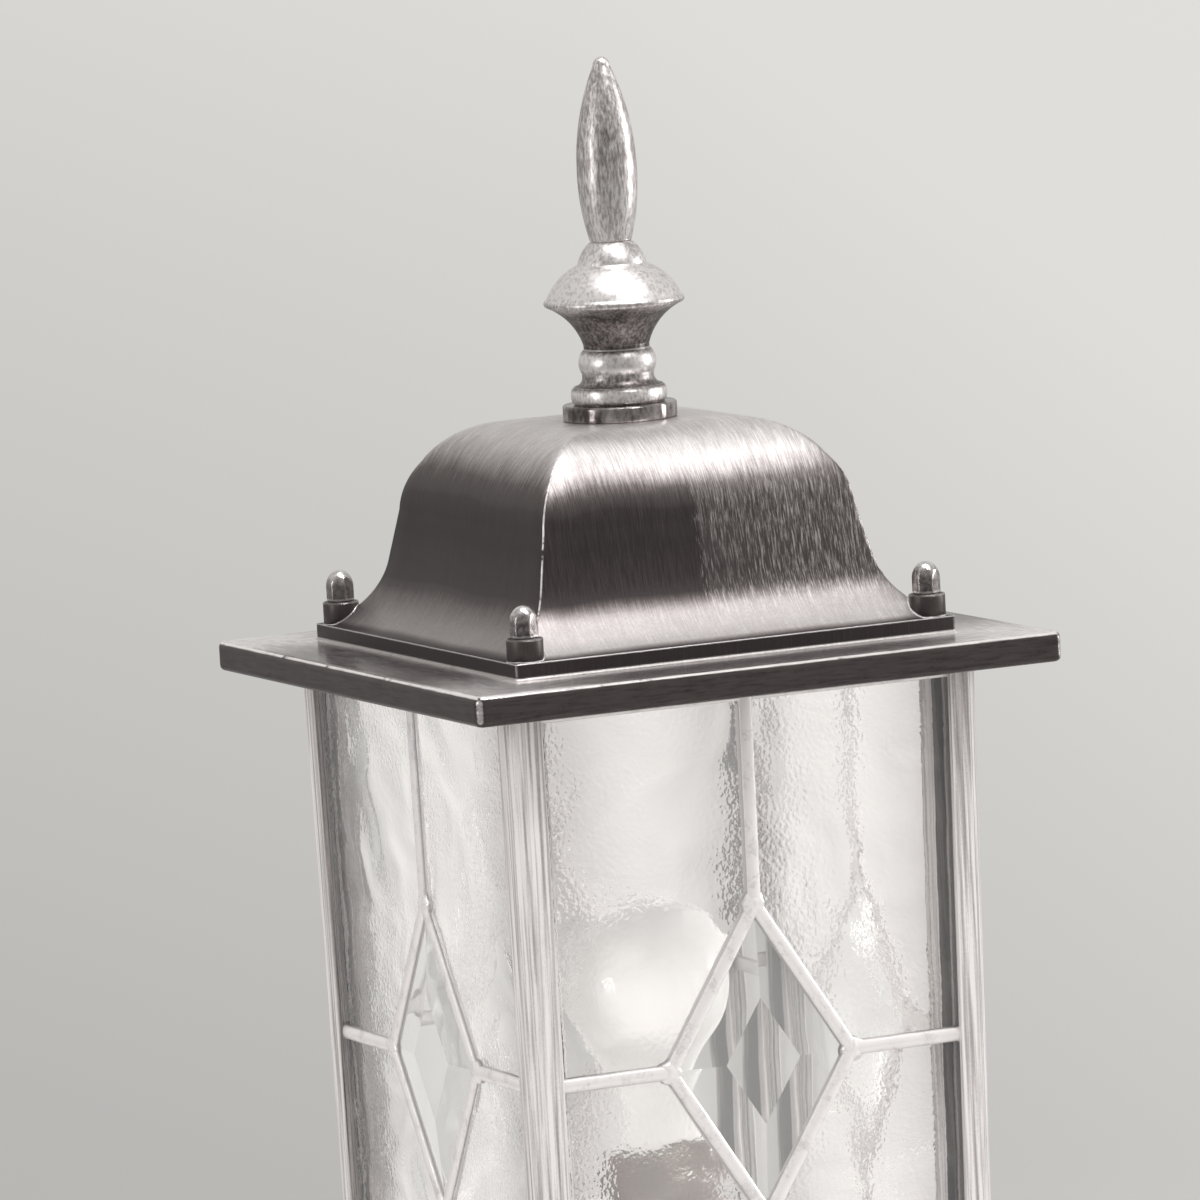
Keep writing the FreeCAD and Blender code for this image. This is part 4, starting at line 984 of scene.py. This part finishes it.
CAMERA_TURN = math.radians(-25.164)
CAMERA_RISE = math.radians(6.67)
CAMERA_ROLL = math.radians(-3.163)
CAMERA_PLACE_TURN = math.radians(-25.357)
CAMERA_PLACE_RISE = math.radians(6.907)
CAMERA_RIGHT = Vector((math.cos(CAMERA_TURN), math.sin(CAMERA_TURN), 0))
CAMERA_DISTANCE = 3.0
CAMERA_LENS = 272.3
LAMP_AIM = Vector((0, 0, 0.36))
FLOOR_LEVEL = -0.2 * MM
FLOOR_RADII = (0.02, 0.2, 0.4, 0.6, 0.8, 1.0, 1.3, 1.6)


def direction(turn, rise):
    """Unit vector towards a place that is turned round from the front and up from level."""
    return Vector((math.sin(turn) * math.cos(rise), -math.cos(turn) * math.cos(rise), math.sin(rise)))


def make_camera():
    """A long lens at the photograph's angle, rolled a little."""
    back = direction(CAMERA_TURN, CAMERA_RISE)
    up = back.cross(CAMERA_RIGHT)
    c, s = math.cos(CAMERA_ROLL), math.sin(CAMERA_ROLL)
    rolled_right, rolled_up = c * CAMERA_RIGHT + s * up, -s * CAMERA_RIGHT + c * up
    data = bpy.data.cameras.new("camera")
    data.sensor_width = 36.0
    data.lens = CAMERA_LENS
    camera = add_object("camera", data)
    matrix = Matrix((rolled_right, rolled_up, back)).transposed().to_4x4()
    place = direction(CAMERA_PLACE_TURN, CAMERA_PLACE_RISE) * CAMERA_DISTANCE
    matrix.translation = place + Vector((0, 0, EAVES_TOP))
    camera.matrix_world = matrix
    bpy.context.scene.camera = camera


def make_lamp(name, turn, rise, distance, width, height, power):
    """A soft rectangular lamp aimed at the foot of the lantern's roof."""
    data = bpy.data.lights.new(name, "AREA")
    data.shape = "RECTANGLE"
    data.size = width
    data.size_y = height
    data.energy = power
    place = LAMP_AIM + direction(math.radians(turn), math.radians(rise)) * distance
    facing = (place - LAMP_AIM).to_track_quat("Z", "Y").to_matrix().to_4x4()
    add_object(name, data).matrix_world = Matrix.Translation(place) @ facing


def make_world():
    """Even light, with a backdrop that pales upwards."""
    world = bpy.data.worlds.new("studio")
    bpy.context.scene.world = world
    finish = Finish("studio", world)
    look = finish.node("ShaderNodeTexCoord", output="Generated")
    straight, in_metal, through_glass = [
        finish.node("ShaderNodeLightPath", output=ray)
        for ray in ("Is Camera Ray", "Is Glossy Ray", "Is Transmission Ray")
    ]
    height = finish.axes(look)[2]
    tilt = finish.vector("DOT_PRODUCT", look, tuple(CAMERA_RIGHT), output=1).smaller(0.12).larger(-0.12)
    up = (height + tilt * 0.42 + tilt.larger(0.0) * 0.40 + 0.24).clamped() * 2.2
    shade = finish.ramp(up, [(0.0, 0.47), (0.10, 0.485), (0.30, 0.62), (0.44, 0.735), (1.0, 0.78)])
    warm = finish.mix((1.0, 0.985, 0.955), (1.0, 0.992, 0.962), height.rise(-0.2, 0.0))
    # A darker card in front of the lantern that only its metal shows
    forwards = tuple(direction(CAMERA_TURN, 0.0))
    card = finish.vector("DOT_PRODUCT", look, forwards, output=1).rise(0.25, 0.85) * in_metal
    tint = finish.vector("MULTIPLY", warm, shade * (1 - card * 0.46) * (1 - in_metal * 0.3))
    light = finish.node("ShaderNodeBackground", values={"Color": (1.0, 0.99, 0.98), "Strength": 0.88})
    backdrop = finish.node("ShaderNodeBackground", values={"Color": tint})
    finish.surface(finish.blend(light, backdrop, straight.larger(in_metal).larger(through_glass)))


def make_floor():
    """A round floor just under the fitter's foot."""
    bm = bmesh.new()
    rows = skin_rings(bm, [round_ring((0, 0), FLOOR_LEVEL, radius, 64) for radius in FLOOR_RADII])
    bm.faces.new(rows[0])
    bm.normal_update()
    bmesh.ops.reverse_faces(bm, faces=[face for face in bm.faces if face.normal.z < 0])
    floor = add_mesh("studio_floor", bm)
    floor.data.materials.append(studio_floor())


# Operators, one for each group of pieces

class LANTERN_OT_roof(bpy.types.Operator):
    """Make the roof's bell and finish the eaves plate, nuts and studs."""

    bl_idname = "lantern.roof"
    bl_label = "Roof"

    def execute(self, context):
        make_roof()
        plate = black_silver(
            "brushed_plate", over_the_plate, (120.0, 900.0, 1800.0), 0.12, 0.4, 0.5, 160.0, 0.62, True,
        )
        dress(plate, "eaves_plate")
        nut = black_silver("mottled_nut", up_the_nut, (700.0, 700.0, 700.0), 0.12, 0.4, 0.8, 420.0)
        for corner in CORNERS:
            make_cap_nut(corner, nut)
        dress(worked_metal("zinc_stud", colours().plated_steel), "roof_studs")
        return {"FINISHED"}


class LANTERN_OT_finial(bpy.types.Operator):
    """Finish the spear, the urn, its ring and their fixings."""

    bl_idname = "lantern.finial"
    bl_label = "Finial"

    def execute(self, context):
        spear = black_silver(
            "brushed_spear", up_the_spear, (1300.0, 1300.0, 260.0), 0.32, 0.7, 0.9, 180.0,
        )
        urn = black_silver("brushed_urn", up_the_finial, (900.0, 900.0, 600.0), 0.30, 0.6, 0.8, 240.0)
        ring = black_silver("brushed_ring", 0.30, (240.0, 240.0, 120.0), 0.05, 0.9, 0.3, 160.0)
        dress(spear, "finial_spear")
        dress(urn, "finial_urn")
        dress(ring, "finial_base_ring")
        zinc = worked_metal("zinc_fixing", colours().plated_steel)
        dress(zinc, "finial_stud", "finial_washer", "finial_nut")
        return {"FINISHED"}


class LANTERN_OT_posts(bpy.types.Operator):
    """Finish the corner posts with long brush marks."""

    bl_idname = "lantern.posts"
    bl_label = "Corner posts"

    def execute(self, context):
        post = black_silver("brushed_post", on_the_posts, (900.0, 900.0, 9.0), 0.24, 0.75, shine=0.14)
        dress(post, *["corner_post_" + corner for corner in CORNERS])
        return {"FINISHED"}


class LANTERN_OT_cames(bpy.types.Operator):
    """Make the leading of the four sides and finish the seals above it."""

    bl_idname = "lantern.cames"
    bl_label = "Cames"

    def execute(self, context):
        make_cames()
        dress(moulded("seal_rubber", colours().rubber, 0.7), "panel_seals")
        return {"FINISHED"}


class LANTERN_OT_glass(bpy.types.Operator):
    """Finish the textured panes and the bevelled diamonds."""

    bl_idname = "lantern.glass"
    bl_label = "Glass"

    def execute(self, context):
        dress(textured_glass(), *["textured_glass_" + side for side in SIDES])
        dress(bevelled_glass(), *["bevelled_glass_" + side for side in SIDES])
        return {"FINISHED"}


class LANTERN_OT_lamp(bpy.types.Operator):
    """Finish the lamp and its holder."""

    bl_idname = "lantern.lamp"
    bl_label = "Lamp and holder"

    def execute(self, context):
        c = colours()
        dress(pearl_glass(), "lamp_glass")
        dress(clear_glass(), "lamp_stem")
        brass = worked_metal("worn_brass", c.brass)
        dress(brass, "lamp_contact", "lampholder_contact", "lampholder_sleeve")
        dress(brass, "lamp_pillar", "pillar_nuts")
        dress(worked_metal("nickel_cap", c.nickel, 0.26), "lamp_cap")
        dress(worked_metal("tungsten_wire", c.tungsten, 0.4), "lamp_filament")
        bakelite = moulded("brown_bakelite", c.bakelite, 0.3, 0.9, 180.0, 0.4)
        dress(bakelite, "lampholder_shell", "lampholder_base")
        dress(moulded("holder_ceramic", c.ceramic, 0.35, 0.08), "lampholder_core")
        return {"FINISHED"}


class LANTERN_OT_base(bpy.types.Operator):
    """Finish the base plate, the casting, the fitter and their screws."""

    bl_idname = "lantern.base"
    bl_label = "Base and fitter"

    def execute(self, context):
        plate = black_silver(
            "brushed_base_plate", 0.12, (120.0, 900.0, 1400.0), 0.2, 0.4, 0.5, 160.0, faces=True,
        )
        dress(plate, "base_plate")
        casting = black_silver("brushed_casting", 0.26, (2300.0, 130.0, 130.0), 0.32, 0.45, faces=True)
        dress(casting, "base_casting")
        dress(black_silver("brushed_fitter", 0.30, (2300.0, 2300.0, 130.0), 0.32, 0.45), "post_fitter")
        zinc = worked_metal("zinc_screw", colours().plated_steel)
        dress(zinc, "base_plate_screws", "post_screws", "fitter_screws")
        dress(zinc, "set_screw_1", "set_screw_2", "set_screw_3")
        return {"FINISHED"}


class LANTERN_OT_wiring(bpy.types.Operator):
    """Finish the terminal block, the earth screw, the grommet and the wires."""

    bl_idname = "lantern.wiring"
    bl_label = "Wiring"

    def execute(self, context):
        c = colours()
        dress(moulded("terminal_ceramic", c.ceramic, 0.35, 0.08), "terminal_block")
        dress(worked_metal("terminal_brass", c.brass), "terminal_screws", "earth_screw")
        dress(moulded("grommet_rubber", c.rubber, 0.65), "cable_grommet")
        dress(moulded("wire_sheath", c.sheath, 0.45), "lamp_wires")
        return {"FINISHED"}


class LANTERN_OT_stage(bpy.types.Operator):
    """Make the camera, the lamps, the backdrop and the floor."""

    bl_idname = "lantern.stage"
    bl_label = "Studio"

    def execute(self, context):
        context.scene.view_settings.view_transform = "Standard"
        make_camera()
        make_world()
        make_floor()
        make_lamp("top_lamp", 0.0, 84.0, 1.8, 0.9, 0.9, 14.0)
        make_lamp("key_lamp", 20.0, 57.0, 2.2, 0.75, 0.3, 16.5)
        make_lamp("side_lamp", 74.0, 8.0, 2.0, 0.30, 0.9, 13.0)
        make_lamp("left_lamp", -84.0, 8.0, 2.2, 0.35, 0.9, 7.0)
        return {"FINISHED"}


PARTS = (
    LANTERN_OT_roof, LANTERN_OT_finial, LANTERN_OT_posts, LANTERN_OT_cames, LANTERN_OT_glass,
    LANTERN_OT_lamp, LANTERN_OT_base, LANTERN_OT_wiring, LANTERN_OT_stage,
)


class LANTERN_PT_parts(bpy.types.Panel):
    """Lists the lantern's operators, sizes and colours."""

    bl_label = "Post top lantern"
    bl_idname = "LANTERN_PT_parts"
    bl_space_type = "VIEW_3D"
    bl_region_type = "UI"
    bl_category = "Lantern"

    def draw(self, context):
        for part in PARTS:
            self.layout.operator(part.bl_idname)
        for group in (context.scene.lantern_sizes, context.scene.lantern_colours):
            column = self.layout.column(align=True)
            for name in group.__annotations__:
                column.prop(group, name)


CLASSES = (LanternSizes, LanternColours, *PARTS, LANTERN_PT_parts)


def register():
    for cls in CLASSES:
        bpy.utils.register_class(cls)
    bpy.types.Scene.lantern_sizes = bpy.props.PointerProperty(type=LanternSizes)
    bpy.types.Scene.lantern_colours = bpy.props.PointerProperty(type=LanternColours)


def unregister():
    del bpy.types.Scene.lantern_colours
    del bpy.types.Scene.lantern_sizes
    for cls in reversed(CLASSES):
        bpy.utils.unregister_class(cls)


def main():
    """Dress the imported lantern."""
    register()
    for part in PARTS:
        group, name = part.bl_idname.split(".")
        getattr(getattr(bpy.ops, group), name)()


if __name__ == "__main__":
    main()
